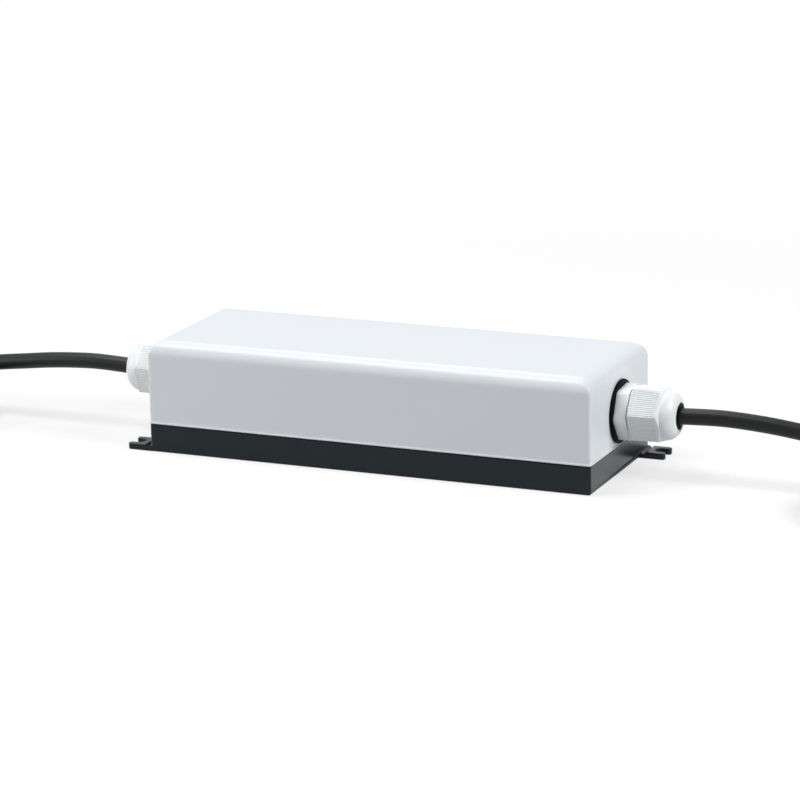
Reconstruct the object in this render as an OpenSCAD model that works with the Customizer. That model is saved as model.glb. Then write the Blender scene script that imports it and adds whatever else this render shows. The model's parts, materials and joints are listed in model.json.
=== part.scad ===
// Mains power supply in a sealed plastic case: a dark base tray with two fixing lugs on one diagonal,
// a white cover, and a cable gland in each end wall. X runs along the case, Y across it, Z up.
// The origin is the centre of the underside. The input end is at -X and the output end at +X.
// All sizes are millimetres.

/* [Case] */
// Length of the case without its lugs
case_l = 174; // [166:1:220]
// Width of the case
case_w = 62; // [60:1:80]
// Height of the closed case
case_h = 42; // [40:0.5:60]
// Height of the base tray's outside wall, up to the seam
base_h = 10.4; // [9:0.1:11]
// Thickness of the cover's walls and roof
wall_t = 2.5; // [2:0.1:3]
// Thickness of the base tray's floor
floor_t = 2.5; // [2:0.1:3]
// Radius along the cover's four top edges
top_r = 5.4; // [4:0.1:8]
// Radius of the upright corners
corner_r = 1; // [0.5:0.1:2]
// Chamfer round the underside
foot_chamfer = 0.5; // [0.2:0.1:1]
// How far the cover's lower lip stands out of its walls
lip_out = 0.3; // [0.1:0.05:0.5]
// Height of that lip
lip_h = 0.6; // [0.4:0.1:1.5]
// Open gap between the cover and the base tray
seam_gap = 0.3; // [0.2:0.05:0.6]
// Thickness of the rim that stands inside the cover
rim_t = 1.5; // [1:0.1:2]
// Height of that rim above the seam
rim_h = 2.4; // [1.5:0.1:4]
// Height of the four stiffening ribs on the tray's floor
rib_h = 1.5; // [0.8:0.1:2.5]

/* [Lid gasket] */
// Width of the gasket
gasket_w = 1.1; // [0.8:0.1:1.2]
// Depth of its groove in the base tray
gasket_sunk = 0.8; // [0.5:0.1:1.5]

/* [Fixing lugs] */
// How far a lug stands out of the end wall
lug_l = 9.5; // [8:0.5:16]
// Width of a lug
lug_w = 10; // [9:0.5:14]
// Thickness of a lug
lug_t = 2.4; // [1.8:0.1:4]
// Width of the open screw slot
slot_w = 4.6; // [4.2:0.1:5]
// Depth of the slot from the lug's tip to its round end
slot_depth = 5; // [4.5:0.1:7]
// Rounding of the two prong tips
prong_r = 1.1; // [0.5:0.1:1.2]
// Depth of the snap-off notches at the lug's root
notch_d = 0.9; // [0.4:0.1:1.2]

/* [Cover screws] */
// Outside diameter of a screw's thread
screw_d = 3.5; // [3:0.1:4]
// Length of a screw under its head
screw_l = 16; // [12:0.5:22]
// Diameter of a screw's head
screw_head_d = 6.6; // [6:0.1:7.5]
// Height of a screw's head
screw_head_h = 2.4; // [1.8:0.1:3]
// Depth of the pocket that hides each head
screw_pocket = 3.5; // [3.1:0.1:5]
// Diameter of the cover's screw pillars
pillar_d = 8.5; // [7.5:0.1:9]
// Distance of the screws from the end and side faces
screw_inset = 6.5; // [6:0.1:7]

/* [Cable gland] */
// Height of the gland's axis above the underside
gland_z = 23.3; // [22.5:0.1:26]
// Diameter of the thread that passes through the end wall
gland_thread_d = 15.2; // [14:0.1:16]
// Length of that thread from the hexagon's seat
gland_thread_l = 10; // [9.5:0.1:12]
// Outside diameter of the rubber washer
washer_d = 23.4; // [21:0.1:25]
// Thickness of the washer
washer_t = 1.7; // [1:0.1:2.5]
// Width across the flats of the body's hexagon
flange_af = 18.6; // [17:0.1:20]
// Thickness of the body's hexagon
flange_t = 4.6; // [3:0.1:6]
// Open gap between the body's hexagon and the nut
nut_gap = 0.35; // [0.2:0.05:1]
// Width across the flats of the ribbed nut
nut_af = 19.2; // [18.4:0.1:21]
// Length of the nut's six-sided part
nut_hex_l = 10.25; // [9:0.05:13]
// Length over which the nut's corners run out into its dome
nut_chamfer_l = 1.2; // [0.8:0.1:2]
// Radius of the dome where it leaves the flats
dome_base_r = 9.2; // [8.8:0.1:9.2]
// Rounding radius of the dome
dome_r = 4.8; // [4:0.1:5.2]
// Grip ribs on each flat of the nut
nut_ribs = 13; // [5:1:15]
// Depth of the grooves between the ribs
nut_rib_d = 0.3; // [0.15:0.05:0.5]
// Diameter of the mouth that the cable leaves by
mouth_d = 9.5; // [9:0.1:10]
// Width across the flats of the locknut inside the case
locknut_af = 21.5; // [20:0.1:22]
// Thickness of the locknut
locknut_t = 5; // [3:0.1:5.5]
// Diameter of the neck that the nut screws on
neck_d = 15; // [14.4:0.1:15.2]
// Length of that neck
neck_l = 7.5; // [6:0.1:8]
// Length of the clamping fingers beyond the neck
finger_l = 4.2; // [3:0.1:4.4]
// Number of slots across the clamping fingers
finger_slots = 4; // [2:1:6]

/* [Cable] */
// Outside diameter of both cables
cable_d = 6; // [5:0.1:8]
// Diameter of an insulated core
core_d = 2.1; // [1.8:0.1:2.4]
// Length of sheath inside the case, from the end wall's outside
sheath_in_l = 15; // [13:0.5:18]

/* [Coiled ends] */
// Radius of the coil at the middle of its turns
coil_r = 30; // [29:0.5:36]
// Thickness of the tie round the coil
tie_t = 0.6; // [0.4:0.1:1]
// Width of the tie
tie_w = 3; // [2:0.5:4]
// Length of the bare end of each core
tinned_l = 6; // [4:0.5:8]

/* [Circuit board] */
// Distance of the board's ends from the tray's end walls
board_end_gap = 11.8; // [8:0.1:13]
// Distance of the board's long sides from the tray's side walls
board_side_gap = 1.8; // [1.3:0.1:2.3]
// Thickness of the board
board_t = 1.6; // [1.2:0.1:2]
// Height of the standoffs above the tray's floor
standoff_h = 4; // [3:0.1:5]
// Diameter of the standoffs
standoff_d = 6.5; // [5.5:0.1:7]
// Diameter of the board screws' thread
board_screw_d = 2.5; // [2:0.1:3]
// Length of the board screws under the head
board_screw_l = 5; // [4:0.1:5.4]
// Distance of the board screws from the board's ends
board_screw_x = 6; // [5:0.1:6.5]
// Distance of the board screws from the board's long sides
board_screw_y = 6; // [4.5:0.1:6.5]

/* [Terminal blocks] */
// Distance of the blocks from the board's ends
terminal_inset = 11.5; // [11:0.1:12.5]
// Length of a block along the case
terminal_l = 9.5; // [8:0.1:10]
// Height of a block
terminal_h = 10; // [9:0.1:12]
// Distance between the two poles
pole_pitch = 5.1; // [5:0.1:5.2]

/* [Mains side parts] */
// Diameter of the round fuse
fuse_d = 8.4; // [8:0.1:9]
// Height of the fuse
fuse_h = 7.5; // [6:0.1:9]
// Diameter of the surge absorber's disc
varistor_d = 11; // [9:0.1:12]
// Diameter of the inrush limiter's disc
thermistor_d = 9; // [8:0.1:9.6]
// Length of the film capacitor
film_cap_l = 18; // [15:0.5:18.5]
// Width of the film capacitor
film_cap_w = 8.5; // [7:0.1:9]
// Height of the film capacitor
film_cap_h = 13.5; // [11:0.5:18]
// Outside diameter of the choke's ring core
choke_d = 17; // [15:0.1:17.6]
// Inside diameter of the choke's ring core
choke_hole_d = 8.6; // [7.5:0.1:9.5]
// Height of the choke's ring core
choke_h = 7; // [5:0.1:9]
// Thickness of the wire wound on the core
choke_wire = 1.1; // [0.8:0.1:1.3]
// Width of the rectifier
rectifier_l = 15; // [13:0.1:16]
// Height of the rectifier
rectifier_h = 11; // [9:0.1:14]
// Diameter of the bulk capacitor
bulk_cap_d = 18; // [16:0.1:18.4]
// Height of the bulk capacitor
bulk_cap_h = 26; // [20:0.5:28]

/* [Power conversion parts] */
// Side of the transformer's square core
core_side = 28; // [26:0.1:28.4]
// Thickness of the core
core_t = 11; // [9:0.1:12]
// Width of the core's middle leg
core_leg = 9; // [8:0.1:10]
// Width of the core's outer legs and end bars
core_bar = 4.5; // [4:0.1:5]
// Wall of the bobbin
bobbin_t = 0.8; // [0.6:0.1:1]
// Gap between the bobbin's cheeks and the board
transformer_lift = 0.8; // [0.3:0.1:1.5]
// Thickness of the heatsinks' base plate
heatsink_t = 2; // [1.5:0.1:2.2]
// Height of the heatsinks
heatsink_h = 21; // [18:0.5:26]
// Length of a heatsink along the case
heatsink_l = 16; // [13:0.5:17]
// Depth of its fins
fin_depth = 1.8; // [1:0.1:2.5]

/* [Output side parts] */
// Diameter of an output capacitor
out_cap_d = 10; // [8:0.1:10.6]
// Height of an output capacitor
out_cap_h = 16; // [12:0.5:22]
// Diameter of the output inductor
inductor_d = 10.6; // [9:0.1:11]
// Height of the output inductor
inductor_h = 12; // [9:0.5:16]

/* [Hidden] */

// Working clearances
slide_clear = 0.2;   // rim inside the cover
thread_clear = 0.05; // screwed and pushed fits, as radius
drop_clear = 0.2;    // a round part dropped in a round hole, as radius
part_clear = 0.3;    // between parts that don't touch
cut = 1;             // how far a cutting shape runs past the face it cuts

// Case
rim_inset = wall_t + slide_clear;
tray_wall = rim_inset + rim_t;
cover_z = base_h + seam_gap;
gasket_h = gasket_sunk + seam_gap;
gasket_inset = (wall_t - gasket_w)/2;
screw_x = case_l/2 - screw_inset;
screw_y = case_w/2 - screw_inset;
rib_w = 1.6;
rib_spread = 2.6;    // each rib's distance from the middle of its pair
pilot_top = screw_pocket + screw_l + 2;
prong_w = (lug_w - slot_w)/2;
tip_r = min(prong_r, 0.45*prong_w);

// Gland, as distances along its axis from the end wall's outside
flange_x = washer_t;
neck_x = flange_x + flange_t;
nut_x = neck_x + nut_gap;
dome_x = nut_x + nut_hex_l + nut_chamfer_l;
mouth_x = dome_x + dome_r;
finger_x = neck_x + neck_l;
finger_end_x = finger_x + finger_l;
finger_t = 0.9;
finger_slot_w = 0.9;
finger_clear = 0.2;  // between the fingers' tips and the cone inside the nut
nut_corner_r = nut_af/2/cos(30);
nut_cone_x = finger_x + 0.25;
nut_cone_end_x = dome_x + 2.45;
nut_cone_end_r = mouth_d/2 + 0.5;
seal_x = neck_x + 2.7;
seal_end_x = nut_cone_end_x - 0.15;
seal_r = neck_d/2 - 1.45;
wire_way_r = seal_r - 1.25;
nut_bore_r = neck_d/2 + thread_clear;
cone_at_tips = nut_bore_r
  + (nut_cone_end_r - nut_bore_r)*(finger_end_x - nut_cone_x)/(nut_cone_end_x - nut_cone_x);
finger_drop = seal_r + finger_t - (cone_at_tips - finger_clear);  // how much the fingers lean in
flange_turn = 35;    // where the hexagons stopped when they were done up, in degrees
output_nut_turn = -9.3;
input_nut_turn = 12;
cord_start = 0.5;    // the free cable's first ring lies this far inside the mouth

// Cable inside the case
core_gap = 0.3;
core_y = core_d/2 + core_gap;

// Circuit board
board_l = case_l - 2*(tray_wall + board_end_gap);
board_w = case_w - 2*(tray_wall + board_side_gap);
board_z = floor_t + standoff_h;
top_z = board_z + board_t;
hole_x = board_l/2 - board_screw_x;
hole_y = board_w/2 - board_screw_y;
board_head_d = 5;
board_head_h = 1.8;
terminal_x = board_l/2 - terminal_inset;
terminal_w = 2*pole_pitch;
wire_hole_z = 4.6;
wire_hole_depth = 4;
terminal_screw_d = 3;
terminal_screw_h = 1.2;
terminal_screw_depth = 2;

// Tall parts stand in columns along the board, with equal gaps between them and the terminal blocks
columns = [choke_d + 2*choke_wire, bulk_cap_d, core_side, out_cap_d];
columns_l = board_l - 2*(terminal_inset + terminal_l);
column_gap = (columns_l - sum_to(columns, len(columns)))/(len(columns) + 1);
choke_x = column_x(0);
bulk_x = column_x(1);
transformer_x = column_x(2);
out_caps_x = column_x(3);

// Places of the parts: along from a column or an end, across from the middle or from an edge of the board
end_x = board_l/2;
edge_y = board_w/2;
package_w = 4.4;
plate_gap = 0.05;
package_y = -edge_y + fin_depth + heatsink_t + plate_gap + package_w/2;
fuse_at = [17 - end_x, 10 - edge_y];
varistor_at = [17 - end_x, edge_y - 10];
choke_at = [choke_x, 4];
film_cap_at = [choke_x, 9.5 - edge_y];
thermistor_at = [choke_x - 5, edge_y - 4.5];
bulk_cap_at = [bulk_x, 7];
rectifier_at = [bulk_x - 1.5, 7.5 - edge_y];
transformer_at = [transformer_x, 3];
switch_at = [transformer_x - 12, package_y];
chip_at = [transformer_x + 3.5, 8 - edge_y];
optocoupler_at = [transformer_x + 14, 7 - edge_y];
safety_cap_at = [transformer_x - 5, edge_y - 2.5];
diode_at = [out_caps_x + 5, package_y];
inductor_at = [out_caps_x + 1, 15.5 - edge_y];
cap_row = edge_y - 0.6 - out_cap_d/2;
cap_pitch = out_cap_d + 1.4;
out_caps_at = [[out_caps_x, cap_row - cap_pitch], [out_caps_x, cap_row], [out_caps_x + cap_pitch, cap_row]];
disc_t = 4;
leg_d = 0.8;
disc_lift = 2.5;     // a disc part stands this far above the board on its legs
package_l = 10;
package_h = 9.2;
tab_t = 1.3;
tab_h = 15.6;
tab_hole_d = 3.6;
package_lift = 3.5;
pin_pitch = 2.54;
cheek_over = 1;      // how far the bobbin's cheeks stand out above and below the core's windows
cheek_h = core_side - 2*core_bar + 2*cheek_over;
transformer_z = cheek_h/2 + transformer_lift;

// Route of a free cable: distance on from its first ring, distance across, height
cable_r = cable_d/2;
cable_sides = 12;
route = [
  [0, 0, gland_z], [8, 0, 23.7], [16, 0, 23.9], [26, 0, 23.5], [36, 0, 22.7], [46, 0, 21.5], [56, 0, 20.3],
  [66, 0, 18.9], [76, 0, 17.4], [84, 0, 16.1], [90, 0, 15.2], [97, -1, 14.1], [104, -4.5, 13.1],
  [110, -10.5, 12], [113.9, -20, 10.8]];
route_end = [0.17, -1, -0.1];

// Coil of the rest of the cable: one turn on the other, held by a tie, with its free end along +X
turn_r = 3;
coil_at = [90, -18];
coil_z = tie_t + turn_r;
tie_clear = 0.05;
tail_r = 2.9;
tail_l = 20;

// Stripped cores at the free end: distance on, distance aside, height
stripped_r = 1;
stripped_y = 1.2;
stripped_route = [[0, 0, coil_z], [3, 0.1, 3.1], [6, 0.5, 2], [9, 0.9, 1.3], [11, 1, 1.1]];
tinned_r = 0.7;

// Sum of the first n numbers of a list
function sum_to(v, n) = n == 0 ? 0 : v[n - 1] + sum_to(v, n - 1);

// Middle of column i of the tall parts on the board
function column_x(i) = (i + 1)*column_gap + sum_to(columns, i) + columns[i]/2 - columns_l/2;

// Unit vector
function unit(v) = v/norm(v);

// Direction of a path at point i, with its two end directions given
function heading(p, i, first, last) =
  i == 0 ? unit(first) : i == len(p) - 1 ? unit(last) : unit(p[i + 1] - p[i - 1]);

// One ring of a swept tube: n points round centre c, square to direction t
function tube_ring(c, t, r, n) =
  let (side = unit(cross(t, [0, 0, 1])), up = cross(side, t))
  [for (k = [0:n - 1]) c + r*(cos(360*k/n)*side + sin(360*k/n)*up)];

// Smooth step from 0 to 1
function ease(s) = s*s*(3 - 2*s);

// Path between two points that leaves and arrives along X
function eased_path(a, b, n) =
  [for (i = [0:n]) let (s = i/n) [a.x + (b.x - a.x)*s, a.y + (b.y - a.y)*ease(s), a.z + (b.z - a.z)*ease(s)]];

// Outline of a six-sided grip with straight ribs along every flat
function ribbed_hexagon(af, ribs, depth) =
  [for (f = [0:5], i = [0:2*ribs - 2])
    let (s = i/(2*ribs - 2) - 0.5, y = s*af*tan(30)*0.96, x = af/2 - (i % 2)*depth)
    [x*cos(60*f) - y*sin(60*f), x*sin(60*f) + y*cos(60*f)]];

// Tube swept along a path
module swept_tube(p, r, n, first, last) {
  rings = [for (i = [0:len(p) - 1]) each tube_ring(p[i], heading(p, i, first, last), r, n)];
  end = (len(p) - 1)*n;
  walls = [for (i = [0:len(p) - 2], k = [0:n - 1])
    let (a = i*n + k, b = i*n + (k + 1) % n) [a, b, b + n, a + n]];
  first_cap = [for (k = [n - 1:-1:0]) k];
  last_cap = [for (k = [0:n - 1]) end + k];
  polyhedron(rings, concat([first_cap], walls, [last_cap]), convexity = 4);
}

// Rectangle with four round corners
module round_rect(l, w, r) {
  square([l - 2*r, w], center = true);
  square([l, w - 2*r], center = true);
  for (x = [-1, 1], y = [-1, 1]) translate([x*(l/2 - r), y*(w/2 - r)]) circle(r, $fn = 48);
}

// Upright outline whose two top corners are round
module arch(w, h, r) {
  translate([-w/2, 0]) square([w, h - r]);
  translate([-w/2 + r, 0]) square([w - 2*r, h]);
  for (s = [-1, 1]) translate([s*(w/2 - r), h - r]) circle(r, $fn = 64);
}

// Block whose four top edges are rounded, so that the roundings meet in a mitre at each corner
module rounded_block(l, w, h, r, c) {
  intersection() {
    rotate([90, 0, 90]) linear_extrude(l, center = true) arch(w, h, r);
    rotate([90, 0, 0]) linear_extrude(w, center = true) arch(l, h, r);
    linear_extrude(h) round_rect(l, w, c);
  }
}

// Wall of height h that follows the case's outline between two insets
module case_ring(outer, inner, h) {
  linear_extrude(h) difference() {
    round_rect(case_l - 2*outer, case_w - 2*outer, corner_r);
    round_rect(case_l - 2*inner, case_w - 2*inner, corner_r);
  }
}

// Places what follows at the four cover screws
module at_cover_screws() {
  for (x = [-1, 1], y = [-1, 1]) translate([x*screw_x, y*screw_y, 0]) children();
}

// Places what follows at the four board screws
module at_board_screws() {
  for (x = [-1, 1], y = [-1, 1]) translate([x*hole_x, y*hole_y, 0]) children();
}

// Turns a shape built along +Z so that it lies along a gland's axis, out of the wall at end s
module on_gland(s) {
  translate([s*case_l/2, 0, gland_z]) rotate([0, 90*s, 0]) children();
}

// Six-sided collar whose corners are cut back to a circle
module blunt_hexagon(af, h, turn) {
  intersection() {
    rotate(turn) cylinder(r = af/2/cos(30), h = h, $fn = 6);
    cylinder(r = af/2/cos(30) - 0.35, h = h, $fn = 96);
  }
}

// One fixing lug, pointing along +X from the end wall, with its outer side along +Y
module lug() {
  root = 1.5;
  translate([case_l/2, case_w/2 - lug_w, 0]) difference() {
    linear_extrude(lug_t) difference() {
      union() {
        translate([-root, 0]) square([root + lug_l - tip_r, lug_w]);
        for (y = [0, lug_w - prong_w]) translate([0, y]) {
          translate([0, tip_r]) square([lug_l, prong_w - 2*tip_r]);
          for (corner = [tip_r, prong_w - tip_r]) translate([lug_l - tip_r, corner]) circle(tip_r, $fn = 48);
        }
      }
      translate([lug_l - slot_depth + slot_w/2, lug_w/2]) circle(slot_w/2, $fn = 64);
      translate([lug_l - slot_depth + slot_w/2, lug_w/2 - slot_w/2]) square([slot_depth, slot_w]);
      translate([notch_d + 0.1, lug_w]) rotate(45) square(notch_d*sqrt(2), center = true);
    }
    translate([notch_d + 0.1, -cut, lug_t]) rotate([-90, 0, 0]) rotate(45)
      linear_extrude(lug_w + 2*cut) square(notch_d/sqrt(2), center = true);
  }
}

// Side view of the tray's block: a straight-sided outline with a chamfer at the foot
module footed(w, h, c) {
  polygon([[-w/2 + c, 0], [w/2 - c, 0], [w/2, c], [w/2, h], [-w/2, h], [-w/2, c]]);
}

// Outside of the tray
module tray_block() {
  intersection() {
    rotate([90, 0, 90]) linear_extrude(case_l, center = true) footed(case_w, base_h, foot_chamfer);
    rotate([90, 0, 0]) linear_extrude(case_w, center = true) footed(case_l, base_h, foot_chamfer);
    linear_extrude(base_h) round_rect(case_l, case_w, corner_r);
  }
}

module base_tray() {
  color([0.15, 0.16, 0.17]) difference() {
    union() {
      difference() {
        tray_block();
        translate([0, 0, floor_t]) linear_extrude(base_h)
          round_rect(case_l - 2*tray_wall, case_w - 2*tray_wall, corner_r);
      }
      difference() {
        translate([0, 0, floor_t]) case_ring(rim_inset, tray_wall, base_h - floor_t + rim_h);
        at_cover_screws() translate([0, 0, base_h])
          cylinder(d = pillar_d + 2*part_clear, h = rim_h + cut, $fn = 64);
      }
      at_cover_screws() cylinder(d = pillar_d, h = base_h, $fn = 64);
      at_board_screws() cylinder(d = standoff_d, h = board_z, $fn = 64);
      for (y = [-1, 1], k = [-1, 1]) translate([0, y*(case_w/6 + k*rib_spread), floor_t + rib_h/2])
        cube([case_l - 2*tray_wall + cut, rib_w, rib_h], center = true);
      for (turn = [0, 180]) rotate(turn) lug();
    }
    at_cover_screws() {
      translate([0, 0, -cut]) cylinder(d = screw_head_d + 2*drop_clear, h = screw_pocket + cut, $fn = 64);
      cylinder(d = screw_d + 2*drop_clear, h = base_h + cut, $fn = 64);
    }
    at_board_screws() translate([0, 0, board_z - board_screw_l + board_t])
      cylinder(d = board_screw_d + 2*thread_clear, h = board_screw_l, $fn = 48);
    for (s = [-1, 1]) on_gland(s) translate([0, 0, -case_l/4])
      cylinder(d = locknut_af/cos(30) + 2*part_clear, h = case_l/4 - wall_t, $fn = 64);
    translate([0, 0, base_h - gasket_sunk])
      case_ring(gasket_inset - thread_clear, gasket_inset + gasket_w + thread_clear, gasket_sunk + cut);
  }
}

module cover_shell() {
  color([0.93, 0.94, 0.95]) difference() {
    union() {
      difference() {
        translate([0, 0, cover_z]) rounded_block(case_l, case_w, case_h - cover_z, top_r, corner_r);
        translate([0, 0, cover_z - cut])
          rounded_block(case_l - 2*wall_t, case_w - 2*wall_t, case_h - cover_z - wall_t + cut,
            top_r - wall_t, corner_r);
      }
      difference() {
        translate([0, 0, cover_z]) case_ring(-lip_out, wall_t/2, lip_h);
        for (s = [-1, 1]) on_gland(s) cylinder(d = washer_d + 2*thread_clear, h = cut, $fn = 64);
      }
      at_cover_screws() translate([0, 0, cover_z])
        cylinder(d = pillar_d, h = case_h - cover_z - wall_t/2, $fn = 64);
    }
    at_cover_screws() translate([0, 0, cover_z - cut])
      cylinder(d = screw_d + 2*thread_clear, h = pilot_top - cover_z + cut, $fn = 48);
    for (s = [-1, 1]) on_gland(s) translate([0, 0, -wall_t - cut])
      cylinder(d = gland_thread_d + 2*drop_clear, h = wall_t + 2*cut, $fn = 64);
  }
}

module lid_gasket() {
  color([0.2, 0.2, 0.21]) translate([0, 0, base_h - gasket_sunk])
    case_ring(gasket_inset, gasket_inset + gasket_w, gasket_h);
}

// Screw built point down along +Z: head, shank, point and a cross recess
module pan_screw(d, l, head_d, head_h) {
  recess = head_d/5;
  difference() {
    union() {
      translate([0, 0, -head_h]) cylinder(d = head_d, h = head_h, $fn = 64);
      cylinder(d = d, h = l - d/2, $fn = 48);
      translate([0, 0, l - d/2]) cylinder(d1 = d, d2 = d/3, h = d/2, $fn = 48);
    }
    for (turn = [0, 90]) rotate(turn) translate([-head_d*0.35, -recess/2, -head_h - cut])
      cube([head_d*0.7, recess, cut + head_h*0.6]);
  }
}

module cover_screws() {
  color([0.7, 0.7, 0.68]) at_cover_screws() translate([0, 0, screw_pocket])
    pan_screw(screw_d, screw_l, screw_head_d, screw_head_h);
}

// Gland parts, built along +Z from the wall's outside face

module gland_body() {
  lean = [[seal_r, finger_x], [seal_r + finger_t, finger_x],
    [seal_r + finger_t - finger_drop, finger_end_x], [seal_r - finger_drop, finger_end_x]];
  color([0.9, 0.91, 0.91]) difference() {
    union() {
      translate([0, 0, washer_t - gland_thread_l])
        cylinder(d = gland_thread_d, h = gland_thread_l + cut, $fn = 64);
      translate([0, 0, flange_x]) blunt_hexagon(flange_af, flange_t, flange_turn);
      translate([0, 0, neck_x - cut]) cylinder(d = neck_d, h = neck_l + cut, $fn = 64);
      rotate_extrude($fn = 96) polygon(lean);
    }
    translate([0, 0, washer_t - gland_thread_l - cut])
      cylinder(r = wire_way_r, h = mouth_x + gland_thread_l, $fn = 64);
    translate([0, 0, seal_x]) cylinder(r = seal_r, h = finger_x - seal_x + 0.01, $fn = 64);
    for (i = [0:finger_slots - 1]) rotate(180/finger_slots*i)
      translate([-neck_d, -finger_slot_w/2, finger_x + 0.5]) cube([2*neck_d, finger_slot_w, finger_l + cut]);
  }
}

module gland_nut(turn) {
  profile = [[0, nut_x], [nut_corner_r, nut_x], [nut_corner_r, nut_x + nut_hex_l], [dome_base_r, dome_x],
    [0, dome_x]];
  hollow = [[0, nut_x - cut], [nut_bore_r, nut_x - cut], [nut_bore_r, nut_cone_x],
    [nut_cone_end_r, nut_cone_end_x], [0, nut_cone_end_x]];
  color([0.93, 0.94, 0.94]) difference() {
    intersection() {
      translate([0, 0, nut_x]) rotate(turn)
        linear_extrude(mouth_x - nut_x) polygon(ribbed_hexagon(nut_af, nut_ribs, nut_rib_d));
      rotate_extrude($fn = 96) {
        polygon(profile);
        intersection() {
          translate([dome_base_r - dome_r, dome_x]) circle(dome_r, $fn = 96);
          translate([0, dome_x]) square([dome_base_r, dome_r]);
        }
        translate([0, dome_x]) square([dome_base_r - dome_r, dome_r]);
      }
    }
    rotate_extrude($fn = 96) polygon(hollow);
    cylinder(d = mouth_d, h = mouth_x + cut, $fn = 96);
  }
}

module gland_seal() {
  r = seal_r - thread_clear;
  color([0.1, 0.1, 0.1]) rotate_extrude($fn = 96) polygon([
    [cable_r + thread_clear, seal_x], [r, seal_x], [r, finger_x],
    [r - finger_drop, finger_end_x], [r - finger_drop, seal_end_x], [cable_r + thread_clear, seal_end_x]]);
}

module gland_washer() {
  color([0.09, 0.09, 0.1]) difference() {
    cylinder(d = washer_d, h = washer_t, $fn = 96);
    translate([0, 0, -cut]) cylinder(d = gland_thread_d + 2*thread_clear, h = washer_t + 2*cut, $fn = 64);
  }
}

module gland_locknut() {
  color([0.9, 0.91, 0.91]) translate([0, 0, -wall_t - locknut_t]) difference() {
    blunt_hexagon(locknut_af, locknut_t, 30);
    translate([0, 0, -cut]) cylinder(d = gland_thread_d + 2*thread_clear, h = locknut_t + 2*cut, $fn = 64);
  }
}

// Sheathed cable through a gland, as one straight piece
module inner_sheath(s) {
  color([0.1, 0.1, 0.11]) on_gland(s) translate([0, 0, -sheath_in_l])
    cylinder(d = cable_d, h = sheath_in_l + mouth_x - cord_start, $fn = 48);
}

// One core from the sheath's end to its pole in the terminal block
module inner_wire(s, pole, tint) {
  a = [s*(case_l/2 - sheath_in_l), pole*core_y, gland_z];
  b = [s*(terminal_x - wire_hole_depth + part_clear), pole*pole_pitch/2, top_z + wire_hole_z];
  mid = [s*(terminal_x + 1), b.y, b.z];
  color(tint) swept_tube(concat(eased_path(a, mid, 7), [b]), core_d/2, 8, [-s, 0, 0], [-s, 0, 0]);
}

// Places a free cable's shapes, built outwards along +X from the mouth, at end s
module from_mouth(s) {
  mirror([s < 0 ? 1 : 0, 0, 0]) translate([case_l/2 + mouth_x - cord_start, 0, 0]) children();
}

module free_cable(s) {
  color([0.1, 0.1, 0.11]) from_mouth(s) swept_tube(route, cable_r, cable_sides, [1, 0, 0], route_end);
}

// Outline of two turns, one on the other, as they show where the coil is cut through
module two_turns(r) {
  for (z = [coil_z, coil_z + 2*turn_r]) translate([0, z]) circle(r, $fn = 64);
  translate([-r, coil_z]) square([2*r, 2*turn_r]);
}

// Outer shape of the coiled cable, with the straight end that leaves its lower turn
module cable_coil(s) {
  color([0.1, 0.1, 0.11]) from_mouth(s) translate(coil_at) {
    rotate_extrude($fn = 128) translate([coil_r, 0]) two_turns(turn_r);
    translate([0, coil_r, coil_z]) rotate([0, 90, 0]) cylinder(r = tail_r, h = tail_l, $fn = 48);
  }
}

// Strap round both turns of the coil, on the side towards the case
module coil_tie(s) {
  color([0.08, 0.08, 0.08]) from_mouth(s) translate([coil_at.x - coil_r, coil_at.y, 0])
    rotate([90, 0, 0]) linear_extrude(tie_w, center = true) difference() {
      two_turns(turn_r + tie_t);
      two_turns(turn_r + tie_clear);
    }
}

// Places what follows at the end of the sheath, where the cores come out
module from_sheath_end(s) {
  from_mouth(s) translate([coil_at.x + tail_l, coil_at.y + coil_r, 0]) children();
}

// One stripped core at the free end, side +1 or -1
module stripped_core(s, side, tint) {
  path = [for (p = stripped_route) [p.x, side*(stripped_y + p.y), p.z]];
  color(tint) from_sheath_end(s) swept_tube(path, stripped_r, 8, [1, 0, 0], [1, 0, 0]);
}

module tinned_ends(s) {
  last = stripped_route[len(stripped_route) - 1];
  color([0.75, 0.75, 0.76]) from_sheath_end(s) for (side = [-1, 1])
    translate([last.x, side*(stripped_y + last.y), last.z])
      rotate([0, 90, 0]) cylinder(r = tinned_r, h = tinned_l, $fn = 32);
}

module circuit_board() {
  color([0.09, 0.33, 0.18]) translate([0, 0, board_z]) difference() {
    translate([-board_l/2, -board_w/2, 0]) cube([board_l, board_w, board_t]);
    at_board_screws() translate([0, 0, -cut])
      cylinder(d = board_screw_d + 2*drop_clear, h = board_t + 2*cut, $fn = 48);
  }
}

module board_screws() {
  color([0.75, 0.75, 0.72]) at_board_screws() translate([0, 0, top_z]) mirror([0, 0, 1])
    pan_screw(board_screw_d, board_screw_l, board_head_d, board_head_h);
}

// Two-pole terminal block whose wire mouths face the end wall at end s
module terminal_block(s, tint) {
  color(tint) translate([s*terminal_x, 0, top_z]) mirror([s < 0 ? 1 : 0, 0, 0]) difference() {
    translate([-terminal_l, -terminal_w/2, 0]) cube([terminal_l, terminal_w, terminal_h]);
    for (pole = [-1, 1]) {
      translate([-wire_hole_depth, pole*pole_pitch/2, wire_hole_z]) rotate([0, 90, 0])
        cylinder(d = core_d + 2*drop_clear, h = wire_hole_depth + cut, $fn = 48);
      translate([-terminal_l/2, pole*pole_pitch/2, terminal_h - terminal_screw_depth])
        cylinder(d = terminal_screw_d + 2*thread_clear, h = terminal_screw_depth + cut, $fn = 48);
    }
  }
}

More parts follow.
